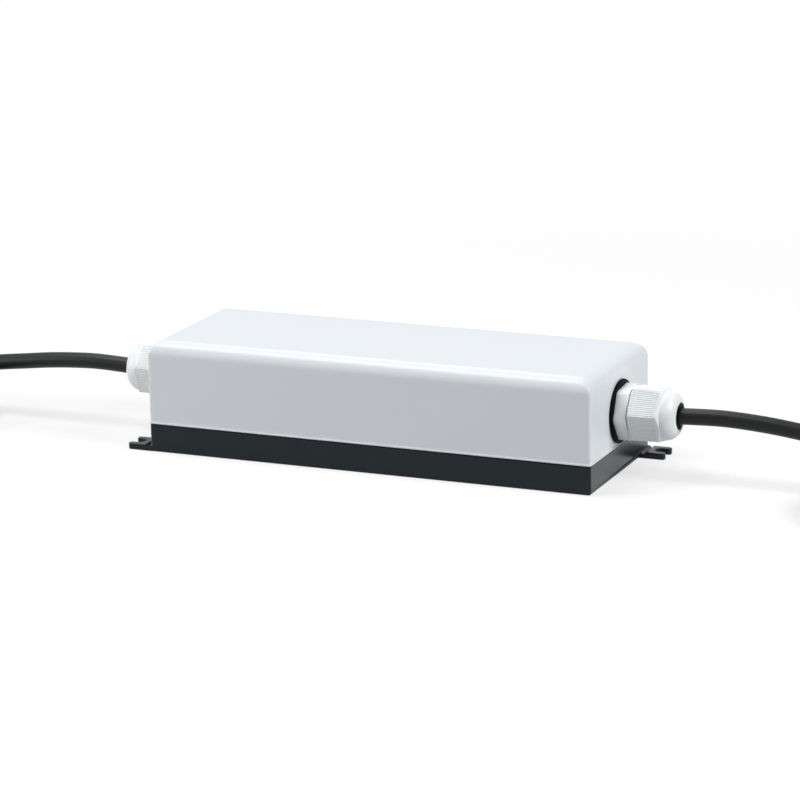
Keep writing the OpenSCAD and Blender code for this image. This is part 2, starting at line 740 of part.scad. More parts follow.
module terminal_screws() {
  color([0.75, 0.75, 0.72]) for (s = [-1, 1], pole = [-1, 1])
    translate([s*(terminal_x - terminal_l/2), pole*pole_pitch/2, top_z + terminal_h - terminal_screw_depth])
      difference() {
        cylinder(d = terminal_screw_d, h = terminal_screw_h, $fn = 48);
        translate([-terminal_screw_d, -0.3, terminal_screw_h/2]) cube([2*terminal_screw_d, 0.6, 2]);
      }
}

module fuse() {
  color([0.45, 0.1, 0.1]) translate([fuse_at.x, fuse_at.y, top_z]) difference() {
    cylinder(d = fuse_d, h = fuse_h, $fn = 64);
    translate([0, 0, fuse_h - 0.4]) difference() {
      cylinder(d = fuse_d + cut, h = cut, $fn = 64);
      translate([0, 0, -cut]) cylinder(d = fuse_d - 1.2, h = 3*cut, $fn = 64);
    }
  }
}

// Coated disc that stands on two legs, its flat sides facing along Y
module disc_part(at, d, t) {
  translate([at.x, at.y, top_z]) {
    translate([0, 0, disc_lift + d/2]) rotate([90, 0, 0]) cylinder(d = d, h = t, center = true, $fn = 64);
    for (x = [-1, 1]) translate([x*d/4, 0, 0]) cylinder(d = leg_d, h = disc_lift + d/2, $fn = 24);
  }
}

module varistor() { color([0.1, 0.22, 0.5]) disc_part(varistor_at, varistor_d, disc_t); }

module inrush_thermistor() { color([0.15, 0.25, 0.2]) disc_part(thermistor_at, thermistor_d, disc_t - 0.6); }

module safety_capacitor() { color([0.15, 0.35, 0.62]) disc_part(safety_cap_at, 7.2, 3); }

// Boxed capacitor on four small feet
module film_capacitor() {
  foot = 0.6;
  color([0.85, 0.72, 0.2]) translate([film_cap_at.x, film_cap_at.y, top_z]) {
    translate([-film_cap_l/2, -film_cap_w/2, foot]) cube([film_cap_l, film_cap_w, film_cap_h - foot]);
    for (x = [-1, 1], y = [-1, 1])
      translate([x*(film_cap_l/2 - 1) - 1, y*(film_cap_w/2 - 1) - 1, 0]) cube([2, 2, foot + 0.2]);
  }
}

// Ring of the choke, lying flat
module choke_core() {
  color([0.25, 0.26, 0.28]) translate([choke_at.x, choke_at.y, top_z + choke_wire])
    rotate_extrude($fn = 96) translate([choke_hole_d/2, 0]) square([(choke_d - choke_hole_d)/2, choke_h]);
}

// Two windings, each round a bit less than half of the ring
module choke_windings() {
  w = (choke_d - choke_hole_d)/2;
  color([0.72, 0.4, 0.2]) translate([choke_at.x, choke_at.y, top_z]) for (turn = [0, 180]) rotate(turn + 20)
    rotate_extrude(angle = 140, $fn = 96) difference() {
      translate([choke_hole_d/2 - choke_wire, 0]) square([w + 2*choke_wire, choke_h + 2*choke_wire]);
      translate([choke_hole_d/2, choke_wire]) square([w, choke_h]);
    }
}

// Flat rectifier with one slanted top corner, standing on four legs
module bridge_rectifier() {
  t = 3.7;
  color([0.13, 0.13, 0.14]) translate([rectifier_at.x, rectifier_at.y, top_z]) {
    translate([0, t/2, disc_lift]) rotate([90, 0, 0]) linear_extrude(t)
      polygon([[-rectifier_l/2, 0], [rectifier_l/2, 0], [rectifier_l/2, rectifier_h],
        [-rectifier_l/2 + 3, rectifier_h], [-rectifier_l/2, rectifier_h - 3]]);
    for (k = [0:3]) translate([(k - 1.5)*rectifier_l/4, 0, 0])
      cylinder(d = leg_d, h = disc_lift + cut, $fn = 24);
  }
}

// Can of an electrolytic capacitor: a groove near the foot, where the seal is crimped
module can(at, d, h) {
  translate([at.x, at.y, top_z]) difference() {
    cylinder(d = d, h = h, $fn = 96);
    translate([0, 0, 2.4]) rotate_extrude($fn = 96) translate([d/2 + 0.2, 0]) circle(0.7, $fn = 32);
    translate([0, 0, h - 0.3]) cylinder(d = d - 2, h = cut, $fn = 96);
  }
}

module bulk_capacitor() { color([0.12, 0.12, 0.14]) can(bulk_cap_at, bulk_cap_d, bulk_cap_h); }

module output_capacitors() { color([0.1, 0.15, 0.3]) for (at = out_caps_at) can(at, out_cap_d, out_cap_h); }

// Finned plate beside the board's edge, behind a power package
module heatsink(at) {
  back = at.y - package_w/2 - plate_gap;
  fins = 6;
  fin_t = 0.9;
  color([0.75, 0.76, 0.78]) translate([at.x - heatsink_l/2, back - heatsink_t, top_z])
    linear_extrude(heatsink_h) {
      square([heatsink_l, heatsink_t]);
      for (k = [0:fins - 1]) translate([k*(heatsink_l - fin_t)/(fins - 1), -fin_depth])
        square([fin_t, fin_depth + heatsink_t/2]);
    }
}

// Power package: moulded body, metal tab with its hole, three legs
module power_package(at) {
  color([0.14, 0.14, 0.15]) translate([at.x, at.y - package_w/2, top_z]) difference() {
    union() {
      translate([-package_l/2, 0, package_lift]) cube([package_l, package_w, package_h]);
      translate([-package_l/2, 0, package_lift + cut]) cube([package_l, tab_t, tab_h - cut]);
      for (k = [-1:1]) translate([k*pin_pitch - leg_d/2, package_w/2, 0])
        cube([leg_d, leg_d/1.5, package_lift + cut]);
    }
    translate([0, -cut, package_lift + tab_h - 2.9]) rotate([-90, 0, 0])
      cylinder(d = tab_hole_d, h = tab_t + 2*cut, $fn = 48);
  }
}

module primary_heatsink() { heatsink(switch_at); }

module output_heatsink() { heatsink(diode_at); }

module switching_transistor() { power_package(switch_at); }

module output_diode() { power_package(diode_at); }

// Chip with its legs in two rows along X
module chip(at, pins) {
  l = pins*pin_pitch - 0.8;
  w = 6.4;
  t = 3.3;
  lift = 0.5;
  color([0.12, 0.12, 0.13]) translate([at.x, at.y, top_z]) difference() {
    union() {
      translate([-l/2, -w/2 + 0.6, lift]) cube([l, w - 1.2, t]);
      for (k = [0:pins - 1], y = [-1, 1])
        translate([(k - (pins - 1)/2)*pin_pitch - 0.6, y*(w/2 - 0.45) - 0.25, 0])
          cube([1.2, 0.5, lift + t/2]);
    }
    translate([-l/2, 0, lift + t - 0.5]) cylinder(r = 1, h = cut, $fn = 32);
  }
}

module control_chip() { chip(chip_at, 4); }

module optocoupler() { chip(optocoupler_at, 2); }

// Closed pair of E-shaped ferrite halves, lying flat
module transformer_core() {
  window_l = core_side - 2*core_bar;
  window_w = (core_side - 2*core_bar - core_leg)/2;
  color([0.2, 0.2, 0.22]) translate([transformer_at.x, transformer_at.y, top_z + transformer_z - core_t/2])
    linear_extrude(core_t) difference() {
      square(core_side, center = true);
      for (y = [-1, 1]) translate([0, y*(core_leg + window_w)/2]) square([window_l, window_w], center = true);
    }
}

// Bobbin: a square tube on the middle leg, a cheek at each end and two pin rails down to the board
module transformer_bobbin() {
  gap = 0.1;
  tube_l = core_side - 2*core_bar - 2*gap;
  hole = [core_leg + 2*gap, core_t + 2*gap];
  tube_out = hole + 2*bobbin_t*[1, 1];
  cheek = [core_side - 2*core_bar - 4*gap, cheek_h];
  foot_h = transformer_z - core_t/2 - gap;
  color([0.13, 0.13, 0.13]) translate([transformer_at.x, transformer_at.y, top_z]) {
    translate([0, 0, transformer_z]) rotate([90, 0, 90]) difference() {
      union() {
        linear_extrude(tube_l, center = true) square(tube_out, center = true);
        for (s = [-1, 1]) translate([0, 0, s*(tube_l/2 - bobbin_t/2)])
          linear_extrude(bobbin_t, center = true) square(cheek, center = true);
      }
      linear_extrude(tube_l + 2*cut, center = true) square(hole, center = true);
    }
    for (s = [-1, 1]) translate([s*(core_side/2 + tube_l/2 - bobbin_t)/2, 0, foot_h/2])
      cube([core_side/2 - tube_l/2 + bobbin_t, cheek.x + 2, foot_h], center = true);
  }
}

// Windings under yellow tape, between the bobbin's cheeks
module transformer_winding() {
  gap = 0.1;
  l = core_side - 2*core_bar - 2*gap - 2*bobbin_t - 2*gap;
  inner = [core_leg, core_t] + (4*gap + 2*bobbin_t)*[1, 1];
  outer = [core_side - 2*core_bar - 8*gap, core_side - 2*core_bar + 1];
  color([0.85, 0.7, 0.15]) translate([transformer_at.x, transformer_at.y, top_z + transformer_z])
    rotate([90, 0, 90]) linear_extrude(l, center = true) difference() {
      round_rect(outer.x, outer.y, 2);
      square(inner, center = true);
    }
}

module output_inductor() {
  flange = 1.4;
  color([0.24, 0.24, 0.26]) translate([inductor_at.x, inductor_at.y, top_z]) {
    cylinder(d = inductor_d, h = flange, $fn = 64);
    cylinder(d = inductor_d - 1.4, h = inductor_h, $fn = 64);
    translate([0, 0, inductor_h - flange]) cylinder(d = inductor_d, h = flange, $fn = 64);
  }
}

base_tray();
cover_shell();
lid_gasket();
cover_screws();
on_gland(-1) gland_body();  // input_gland_body
on_gland(-1) gland_nut(input_nut_turn);  // input_gland_nut
on_gland(-1) gland_seal();  // input_gland_seal
on_gland(-1) gland_washer();  // input_gland_washer
on_gland(-1) gland_locknut();  // input_gland_locknut
on_gland(1) gland_body();  // output_gland_body
on_gland(1) gland_nut(output_nut_turn);  // output_gland_nut
on_gland(1) gland_seal();  // output_gland_seal
on_gland(1) gland_washer();  // output_gland_washer
on_gland(1) gland_locknut();  // output_gland_locknut
inner_sheath(-1);  // input_inner_sheath
inner_wire(-1, -1, "sienna");  // input_line_wire
inner_wire(-1, 1, "royalblue");  // input_neutral_wire
inner_sheath(1);  // output_inner_sheath
inner_wire(1, -1, "firebrick");  // output_positive_wire
inner_wire(1, 1, "black");  // output_negative_wire
free_cable(-1);  // input_cable
cable_coil(-1);  // input_coil
coil_tie(-1);  // input_tie
stripped_core(-1, -1, "sienna");  // input_line_core
stripped_core(-1, 1, "royalblue");  // input_neutral_core
tinned_ends(-1);  // input_tinned_ends
free_cable(1);  // output_cable
cable_coil(1);  // output_coil
coil_tie(1);  // output_tie
stripped_core(1, -1, "firebrick");  // output_positive_core
stripped_core(1, 1, "black");  // output_negative_core
tinned_ends(1);  // output_tinned_ends
circuit_board();
board_screws();
terminal_block(-1, [0.2, 0.45, 0.3]);  // input_terminal
terminal_block(1, [0.2, 0.45, 0.3]);  // output_terminal
terminal_screws();
fuse();
varistor();
inrush_thermistor();
film_capacitor();
choke_core();
choke_windings();
bridge_rectifier();
bulk_capacitor();
primary_heatsink();
switching_transistor();
control_chip();
transformer_core();
transformer_bobbin();
transformer_winding();
optocoupler();
safety_capacitor();
output_heatsink();
output_diode();
output_capacitors();
output_inductor();
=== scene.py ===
"""Looks of a sealed mains power supply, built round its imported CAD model.

Lengths are metres, in the model's own frame: X along the case from the input end to the output end,
Y across it, Z up from the surface that the tray is fixed to. MM turns a number of millimetres into metres.
"""

import json
import math

import bmesh
import bpy
import numpy as np
from bpy.props import FloatProperty, FloatVectorProperty, IntProperty, PointerProperty
from mathutils import Matrix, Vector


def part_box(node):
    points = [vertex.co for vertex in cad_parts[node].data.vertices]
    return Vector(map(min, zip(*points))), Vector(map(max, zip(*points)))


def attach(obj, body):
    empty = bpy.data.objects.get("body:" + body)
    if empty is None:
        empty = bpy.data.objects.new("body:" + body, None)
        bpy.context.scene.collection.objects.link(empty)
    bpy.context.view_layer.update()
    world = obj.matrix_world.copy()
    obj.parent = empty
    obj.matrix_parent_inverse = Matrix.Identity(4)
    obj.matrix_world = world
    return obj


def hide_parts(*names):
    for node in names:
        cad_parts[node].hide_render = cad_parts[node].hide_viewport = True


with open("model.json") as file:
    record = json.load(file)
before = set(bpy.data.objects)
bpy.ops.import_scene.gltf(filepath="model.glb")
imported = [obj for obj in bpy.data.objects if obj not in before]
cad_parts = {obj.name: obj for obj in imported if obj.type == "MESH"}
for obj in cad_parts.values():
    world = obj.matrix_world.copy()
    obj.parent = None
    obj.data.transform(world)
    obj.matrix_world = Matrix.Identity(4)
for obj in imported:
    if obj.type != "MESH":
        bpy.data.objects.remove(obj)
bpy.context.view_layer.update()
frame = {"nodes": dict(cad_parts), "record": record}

bl_info = {
    "name": "Mains power supply",
    "version": (1, 0, 0),
    "blender": (4, 5, 0),
    "location": "3D View > Sidebar > Power supply",
    "description": "Builds the looks of a sealed mains power supply round its CAD model",
    "category": "Object",
}

MM = 0.001
ENDS = {"input": -1, "output": 1}
COVER_LIP = 0.3 * MM


def node_span(node, axis):
    """Length of a CAD node along one axis."""
    low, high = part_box(node)
    return high[axis] - low[axis]


def length(label, text, millimetres):
    """A length property, in metres."""
    return FloatProperty(name=label, description=text, default=millimetres * MM, min=0.0, unit="LENGTH",
                         precision=5)


def angle(label, text, degrees):
    """An angle property, in radians."""
    return FloatProperty(name=label, description=text, default=math.radians(degrees), unit="ROTATION")


def colour(label, text, *value):
    """A colour property, linear red, green and blue."""
    return FloatVectorProperty(name=label, description=text, default=value, size=3, min=0.0, max=1.0,
                               subtype="COLOR")


def power(label, text, watts):
    """A lamp's power, in watts."""
    return FloatProperty(name=label, description=text, default=watts, min=0.0, unit="POWER")


class CaseSizes(bpy.types.PropertyGroup):
    """Sizes of the cover and the tray"""

    case_length: length("Length", "Length of the case without its lugs",
                        (node_span("cover_shell", 0) - 2 * COVER_LIP) / MM)
    case_width: length("Width", "Width of the case", (node_span("cover_shell", 1) - 2 * COVER_LIP) / MM)
    case_top: length("Height", "Height of the closed case", float(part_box("cover_shell")[1][2]) / MM)
    cover_foot: length("Cover's foot", "Height of the cover's lower edge",
                       float(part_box("cover_shell")[0][2]) / MM + 0.1)
    seam: length("Seam", "Height of the tray's wall", float(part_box("lid_gasket")[1][2]) / MM - 0.3)
    wall: length("Wall", "Thickness of the cover's walls and roof", 2.5)
    edge_radius: length("Top edge radius", "Radius along the cover's four top edges", 5.4)
    corner_radius: length("Corner radius", "Radius of the upright corners", 1.0)
    mitre_radius: length("Mitre radius", "Radius of the soft mitre where two top edges meet the roof", 2.3)
    lip_height: length("Lip height", "Height of the cover's lower lip", 0.6)
    lip_round: length("Lip rounding", "Rounding of the lip's edges", 0.12)
    pillar: length("Screw pillar", "Diameter of the cover's screw pillars", 8.5)
    pillar_inset: length("Pillar inset", "Distance of the pillars from the outside faces", 6.5)
    pilot: length("Pilot hole", "Diameter of the pillars' screw holes", 3.6)
    pilot_top: length("Pilot top", "Height that the screw holes reach", 21.5)
    gland_hole: length("Gland hole", "Diameter of the hole in each end wall", 15.6)
    foot_chamfer: length("Foot chamfer", "Size of the chamfer round the tray's foot", 0.52)
    seam_round: length("Seam rounding", "Rounding of the tray's edge at the seam", 0.16)
    lug_length: length("Lug length", "How far a lug stands out of the end wall", 9.5)
    lug_width: length("Lug width", "Width of a lug", 10.0)
    lug_thickness: length("Lug thickness", "Thickness of a lug", 2.4)
    lug_edge: length("Lug edge", "Rounding of the lugs' edges", 0.4)
    lug_tip: length("Lug tip", "Rounding of the corners of the lugs' prongs", 1.1)
    slot_width: length("Slot width", "Width of the open slot in a lug", 4.6)
    slot_at: length("Slot's place", "Distance of the slot's round end from the end wall", 6.8)
    groove_at: length("Groove's place", "Distance of the snap-off groove from the end wall", 1.4)
    groove_depth: length("Groove depth", "Depth of the snap-off groove across a lug", 0.85)


class GlandSizes(bpy.types.PropertyGroup):
    """Sizes of the cable glands"""

    axis_height: length("Axis height", "Height of the gland's axis", 23.3)
    washer: length("Washer", "Diameter of the rubber washer", 23.4)
    washer_hole: length("Washer hole", "Diameter of the washer's hole", 15.3)
    washer_thickness: length("Washer thickness", "Thickness of the rubber washer", 1.05)
    washer_round: length("Washer rounding", "Rounding of the washer's rim", 0.3)
    flange: length("Flange", "Thickness of the hexagon at the washer", 4.6)
    neck: length("Neck", "Length of the neck from the hexagon to where its fingers lean in", 7.5)
    body_edge: length("Body edge", "Softening of the hexagon's edges", 0.22)
    nut_start: length("Nut start", "Distance of the nut's back face from the wall", 6.1)
    nut_flats: length("Nut flats", "Width across the flats of the nut", 19.1)
    nut_hexagon: length("Nut hexagon", "Length of the nut's six-sided part", 10.5)
    nut_draft: length("Nut draft", "How much nearer the flats are to the axis at the dome's end", 0.3)
    nut_runout: length("Nut run-out", "Length over which the corners run out into the dome", 1.2)
    nut_corner: length("Nut corner", "Rounding of the nut's six corners", 1.2)
    dome_base: length("Dome base", "Radius of the dome where it leaves the flats", 9.1)
    dome_reach: length("Dome reach", "How much the dome's rounding takes off its radius", 4.6)
    dome_length: length("Dome length", "Length of the dome's rounding along the axis", 5.1)
    ribs: IntProperty(name="Ribs", description="Grip ribs on each sixth of the nut", default=14, min=3,
                      max=18)
    rib_depth: length("Rib depth", "Depth of the grooves between the ribs", 0.22)
    rib_fade: length("Rib fade", "Length over which the grooves run out at the dome's end", 0.5)
    mouth: length("Mouth", "Diameter of the mouth that the cable leaves by", 9.8)
    bore: length("Bore", "Diameter of the nut's thread", 15.1)
    output_turn: angle("Output nut turn", "Where the output nut stopped when it was done up", -7.4)
    input_turn: angle("Input nut turn", "Where the input nut stopped when it was done up", 12.0)
    input_further: length("Input nut further", "How much further the input nut is done up", 0.4)


class CableSizes(bpy.types.PropertyGroup):
    """Sizes of the cables, their coils and their stripped ends"""

    diameter: length("Diameter", "Outside diameter of both cables", 6.0)
    start: length("Start", "Distance of the free cable's first ring from the middle of the case", 109.4)
    coil_radius: length("Coil radius", "Radius of the coil at the middle of its turns", 30.0)
    coil_lift: length("Coil lift", "Height of the lower turn's middle where the tie passes under it", 3.6)
    tail: length("Tail", "Length of the straight end that leaves the coil", 20.0)
    core: length("Core", "Diameter of a stripped core", 2.0)
    strand: length("Strand", "Diameter of one tinned strand", 0.46)
    bare_length: length("Bare length", "Length of the tinned strands", 6.0)
    tie_width: length("Tie width", "Width of the tie", 3.0)
    tie_thickness: length("Tie thickness", "Thickness of the tie", 0.6)


class Colours(bpy.types.PropertyGroup):
    """Colours of the parts that show"""

    cover: colour("Cover", "Satin white of the moulded cover", 0.756, 0.795, 0.833)
    tray: colour("Tray", "Anthracite of the moulded tray", 0.0080, 0.0150, 0.0200)
    gland: colour("Glands", "White of the moulded glands", 0.865, 0.90, 0.91)
    rubber: colour("Rubber", "Black of the washers and seals", 0.0040, 0.0045, 0.0048)
    sheath: colour("Cable", "Black of the cables' outer sheath", 0.0050, 0.0066, 0.0064)
    floor: colour("Floor", "Plain floor under the case", 0.60, 0.60, 0.60)


class Studio(bpy.types.PropertyGroup):
    """Camera and lamps"""

    lens: FloatProperty(name="Lens", description="Focal length on a 36 mm wide sensor", default=156.42,
                        unit="CAMERA")
    camera_at: FloatVectorProperty(name="Camera", description="Place of the camera", size=3, unit="LENGTH",
                                   default=(494.74 * MM, -1135.51 * MM, 350.55 * MM))
    yaw: angle("Yaw", "Turn of the view from straight along +Y towards -X", 23.50)
    pitch: angle("Pitch", "How far the view points down", 14.96)
    roll: angle("Roll", "Roll of the camera", -1.08)
    overhead_watts: power("Overhead lamp", "Power of the overhead softbox", 7.6)
    back_watts: power("Back lamp", "Power of the softbox behind the case", 2.0)
    left_watts: power("Left lamp", "Power of the softbox beyond the input end", 4.2)
    side_watts: power("Side lamp", "Power of the softbox beyond the output end", 6.4)
    room_light: FloatProperty(name="Room light", description="Even light from all round", default=0.02,
                              min=0.0)


class PowerSupplySettings(bpy.types.PropertyGroup):
    """All the sizes and colours of the power supply"""

    case: PointerProperty(type=CaseSizes)
    gland: PointerProperty(type=GlandSizes)
    cable: PointerProperty(type=CableSizes)
    colours: PointerProperty(type=Colours)
    studio: PointerProperty(type=Studio)


# Meshes


def grid_faces(rows, columns, closed=False):
    """Four-cornered faces of a grid whose last column joins its first: row i joins row i + 1, and the last
    row joins the first where the grid is closed."""
    row = np.arange(rows if closed else rows - 1)[:, None]
    column = np.arange(columns)[None, :]
    beside = (column + 1) % columns
    above = (row + 1) % rows
    corners = [row * columns + column, row * columns + beside, above * columns + beside,
               above * columns + column]
    return np.stack(np.broadcast_arrays(*corners), axis=-1).reshape(-1, 4)


def new_piece(name, points, faces, caps=(), uv=None, sharp_degrees=32.0):
    """A mesh object from an array of points, an array of four-cornered faces and some many-cornered caps.
    Edges that bend by more than sharp_degrees stay sharp."""
    caps = [np.asarray(cap) for cap in caps]
    corners = np.concatenate([faces.ravel()] + caps)
    totals = np.concatenate([np.full(len(faces), 4), np.array([len(cap) for cap in caps], dtype=int)])
    mesh = bpy.data.meshes.new(name)
    mesh.vertices.add(len(points))
    mesh.vertices.foreach_set("co", np.ascontiguousarray(points, dtype=np.float32).ravel())
    mesh.loops.add(len(corners))
    mesh.loops.foreach_set("vertex_index", corners.astype(np.int32))
    mesh.polygons.add(len(totals))
    mesh.polygons.foreach_set("loop_start", (np.cumsum(totals) - totals).astype(np.int32))
    mesh.update(calc_edges=True)
    if mesh.validate():
        raise ValueError(f"{name} has faces that are not valid")
    if uv is not None:
        layer = mesh.uv_layers.new(name="along")
        values = np.zeros((len(corners), 2), dtype=np.float32)
        values[:len(uv)] = uv
        layer.uv.foreach_set("vector", values.ravel())
    soften(mesh, sharp_degrees)
    piece = bpy.data.objects.new(name, mesh)
    bpy.context.scene.collection.objects.link(piece)
    return piece


def closed_rows(name, points, turned=False):
    """A closed piece from rows of points that each go round it: the grid between the rows, and a cap on the
    first and the last row. Turned, all its faces look the other way."""
    rows, columns = points.shape[:2]
    faces = grid_faces(rows, columns)
    first, last = np.arange(columns)[::-1], (rows - 1) * columns + np.arange(columns)
    if turned:
        faces, first, last = faces[:, ::-1], first[::-1], last[::-1]
    return new_piece(name, points.reshape(-1, 3), faces, [first, last])


def soften(mesh, sharp_degrees):
    """Smooth shading, with sharp edges where two faces bend by more than an angle."""
    mesh.polygons.foreach_set("use_smooth", np.ones(len(mesh.polygons), dtype=bool))
    mesh.set_sharp_from_angle(angle=math.radians(sharp_degrees))
    mesh.update()


def merged_copy(node, name):
    """A copy of a CAD node with its loose triangles merged into whole faces."""
    shape = bmesh.new()
    shape.from_mesh(frame["nodes"][node].data)
    bmesh.ops.remove_doubles(shape, verts=shape.verts, dist=0.002 * MM)
    bmesh.ops.dissolve_limit(shape, angle_limit=math.radians(0.4), verts=shape.verts, edges=shape.edges)
    mesh = bpy.data.meshes.new(name)
    shape.to_mesh(mesh)
    shape.free()
    piece = bpy.data.objects.new(name, mesh)
    bpy.context.scene.collection.objects.link(piece)
    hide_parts(node)
    return piece


def soft_edges(piece, width, share):
    """Rounds each sharp edge. The share is a function from the middles of the edges to the part of the
    width that each edge gets."""
    mesh = piece.data
    sharp_degrees = 28.0
    shape = bmesh.new()
    shape.from_mesh(mesh)
    bmesh.ops.remove_doubles(shape, verts=shape.verts, dist=0.004 * MM)
    bmesh.ops.dissolve_degenerate(shape, edges=shape.edges, dist=0.004 * MM)
    bmesh.ops.dissolve_limit(shape, angle_limit=math.radians(0.4), verts=shape.verts, edges=shape.edges)
    shape.edges.ensure_lookup_table()
    bent = np.array([line.calc_face_angle(0.0) for line in shape.edges]) > math.radians(sharp_degrees)
    shape.to_mesh(mesh)
    shape.free()
    soften(mesh, sharp_degrees)
    ends = np.empty(2 * len(mesh.edges), dtype=np.int32)
    mesh.edges.foreach_get("vertices", ends)
    places = np.empty(3 * len(mesh.vertices), dtype=np.float32)
    mesh.vertices.foreach_get("co", places)
    middles = places.reshape(-1, 3)[ends.reshape(-1, 2)].mean(axis=1)
    parts = np.where(bent, share(middles), 0.0)
    weights = mesh.attributes.new("bevel_weight_edge", "FLOAT", "EDGE")
    weights.data.foreach_set("value", parts.astype(np.float32))
    bevel = piece.modifiers.new("soft edges", "BEVEL")
    bevel.width = width
    bevel.segments = 3
    bevel.limit_method = "WEIGHT"
    bevel.use_clamp_overlap = False
    bevel.harden_normals = True


def finish_piece(piece, slot, settings, *nodes, along_piece=False):
    """Gives a piece the material of its slot, lets it ride on the case and hides the nodes that it replaces.
    """
    piece.data.materials.append(finish_material(slot, settings, along_piece))
    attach(piece, "root")
    if nodes:
        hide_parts(*nodes)
    return piece


def placed_axes(place, right, up, back):
    """The matrix of an object at a place, with its own X, Y and Z along three directions."""
    turned = np.eye(4)
    turned[:3, 0], turned[:3, 1], turned[:3, 2] = right, up, back
    turned[:3, 3] = place
    return Matrix(turned.tolist())


def on_gland(local, end, settings):
    """Turns points that were built along +Z so that they lie along a gland's axis, out of the wall at that
    end: X is the wall plus local Z, Y stays, and Z is the axis height less local X."""
    across, side, along = local[..., 0], local[..., 1], local[..., 2]
    wall = settings.case.case_length / 2
    return np.stack([end * (wall + along), side, settings.gland.axis_height - end * across], axis=-1)


def gland_ring(name, local, end, settings):
    """A closed ring on a gland's axis, from rows of points that were built round +Z."""
    rows, columns = local.shape[:2]
    points = on_gland(local, end, settings).reshape(-1, 3)
    return new_piece(name, points, grid_faces(rows, columns, closed=True), sharp_degrees=50.0)


def smooth_min(a, b, width):
    """The smaller of two arrays, with a rounded change from one to the other over a width."""
    part = np.clip(0.5 + 0.5 * (b - a) / width, 0.0, 1.0)
    return b + (a - b) * part - width * part * (1.0 - part)


def arc(centre, radius, first, last, count):
    """Points on an arc in a plane: centre plus radius times (cosine, sine), from one angle to another."""
    turn = np.radians(np.linspace(first, last, count))
    return np.stack([centre[0] + radius * np.cos(turn), centre[1] + radius * np.sin(turn)], axis=-1)


def revolve(profile, count):
    """Points of a turned shape: each (radius, along) of the profile goes round the local Z axis."""
    turn = np.arange(count) * (2 * math.pi / count)
    radius, along = profile[:, 0, None], profile[:, 1, None]
    return np.stack(np.broadcast_arrays(radius * np.cos(turn), radius * np.sin(turn), along), axis=-1)


def curve_through(knots, step):
    """A smooth curve through knots: between two knots it is the cubic that leaves and arrives with the
    slope of the line between each knot's two neighbours, sampled about every step."""
    gaps = np.linalg.norm(np.diff(knots, axis=0), axis=1)
    at = np.concatenate([[0.0], np.cumsum(gaps)])
    slope = np.gradient(knots, at, axis=0)
    where = np.linspace(0.0, at[-1], int(round(at[-1] / step)) + 1)
    i = np.clip(np.searchsorted(at, where, side="right") - 1, 0, len(gaps) - 1)
    gap = gaps[i][:, None]
    s = (where[:, None] - at[i][:, None]) / gap
    return ((2 * s**3 - 3 * s**2 + 1) * knots[i] + (s**3 - 2 * s**2 + s) * gap * slope[i]
            + (3 * s**2 - 2 * s**3) * knots[i + 1] + (s**3 - s**2) * gap * slope[i + 1])


def headings(path):
    """Direction of a path at each of its points."""
    way = np.gradient(path, axis=0)
    return way / np.linalg.norm(way, axis=1, keepdims=True)


def tube(path, radius, sides):
    """Rings of a tube: round each point of the path, radius times (cosine of a turn times the level side
    direction plus its sine times the upward one). The last column joins the first. Also gives the uv of
    each face's corners: distance round the tube and along it, in metres."""
    way = headings(path)
    side = np.cross(way, [0.0, 0.0, 1.0])
    side /= np.linalg.norm(side, axis=1, keepdims=True)
    up = np.cross(side, way)
    turn = (np.arange(sides) * (2 * math.pi / sides))[None, :, None]
    rings = path[:, None] + radius * (np.cos(turn) * side[:, None] + np.sin(turn) * up[:, None])
    along = np.concatenate([[0.0], np.cumsum(np.linalg.norm(np.diff(path, axis=0), axis=1))])
    row, column = np.meshgrid(np.arange(len(path) - 1), np.arange(sides), indexing="ij")
    around = 2 * math.pi * radius / sides
    corners = [(column, row), (column + 1, row), (column + 1, row + 1), (column, row + 1)]
    uv = np.stack([np.stack([c * around, along[r]], axis=-1) for c, r in corners], axis=2)
    return rings.reshape(-1, 3), uv.reshape(-1, 2)


def tube_piece(name, path, radius, sides):
    """A tube along a path, closed by a flat cap at each end."""
    points, uv = tube(path, radius, sides)
    faces = grid_faces(len(path), sides)[:, ::-1]
    uv = uv.reshape(-1, 4, 2)[:, ::-1].reshape(-1, 2)
    last = (len(path) - 1) * sides
    caps = [np.arange(sides), last + np.arange(sides)[::-1]]
    return new_piece(name, points, faces, caps, uv)


# Finishes


def add(tree, kind, inputs=None, **settings):
    """A new shader node. Inputs are given by name or number, as a value or as the output that feeds them."""
    made = tree.nodes.new(kind)
    for name, value in settings.items():
        setattr(made, name, value)
    for name, value in (inputs or {}).items():
        if isinstance(value, bpy.types.NodeSocket):
            tree.links.new(value, made.inputs[name])
        else:
            made.inputs[name].default_value = value
    return made


def new_material(name):
    """A new material, its node tree, its Principled BSDF and its Texture Coordinate node."""
    material = bpy.data.materials.new(name)
    material.use_nodes = True
    tree = material.node_tree
    return material, tree, tree.nodes["Principled BSDF"], tree.nodes.new("ShaderNodeTexCoord")


def new_group(name, inputs, outputs):
    """An empty shader node group with named inputs and outputs, and its two end nodes."""
    group = bpy.data.node_groups.new(name, "ShaderNodeTree")
    for label, kind, default in inputs:
        socket = group.interface.new_socket(name=label, in_out="INPUT", socket_type="NodeSocket" + kind)
        if default is not None:
            socket.default_value = default
    for label, kind in outputs:
        group.interface.new_socket(name=label, in_out="OUTPUT", socket_type="NodeSocket" + kind)
    return group, group.nodes.new("NodeGroupInput"), group.nodes.new("NodeGroupOutput")


def math_node(tree, operation, a, b):
    """The output of a Math node."""
    return add(tree, "ShaderNodeMath", {0: a, 1: b}, operation=operation).outputs[0]


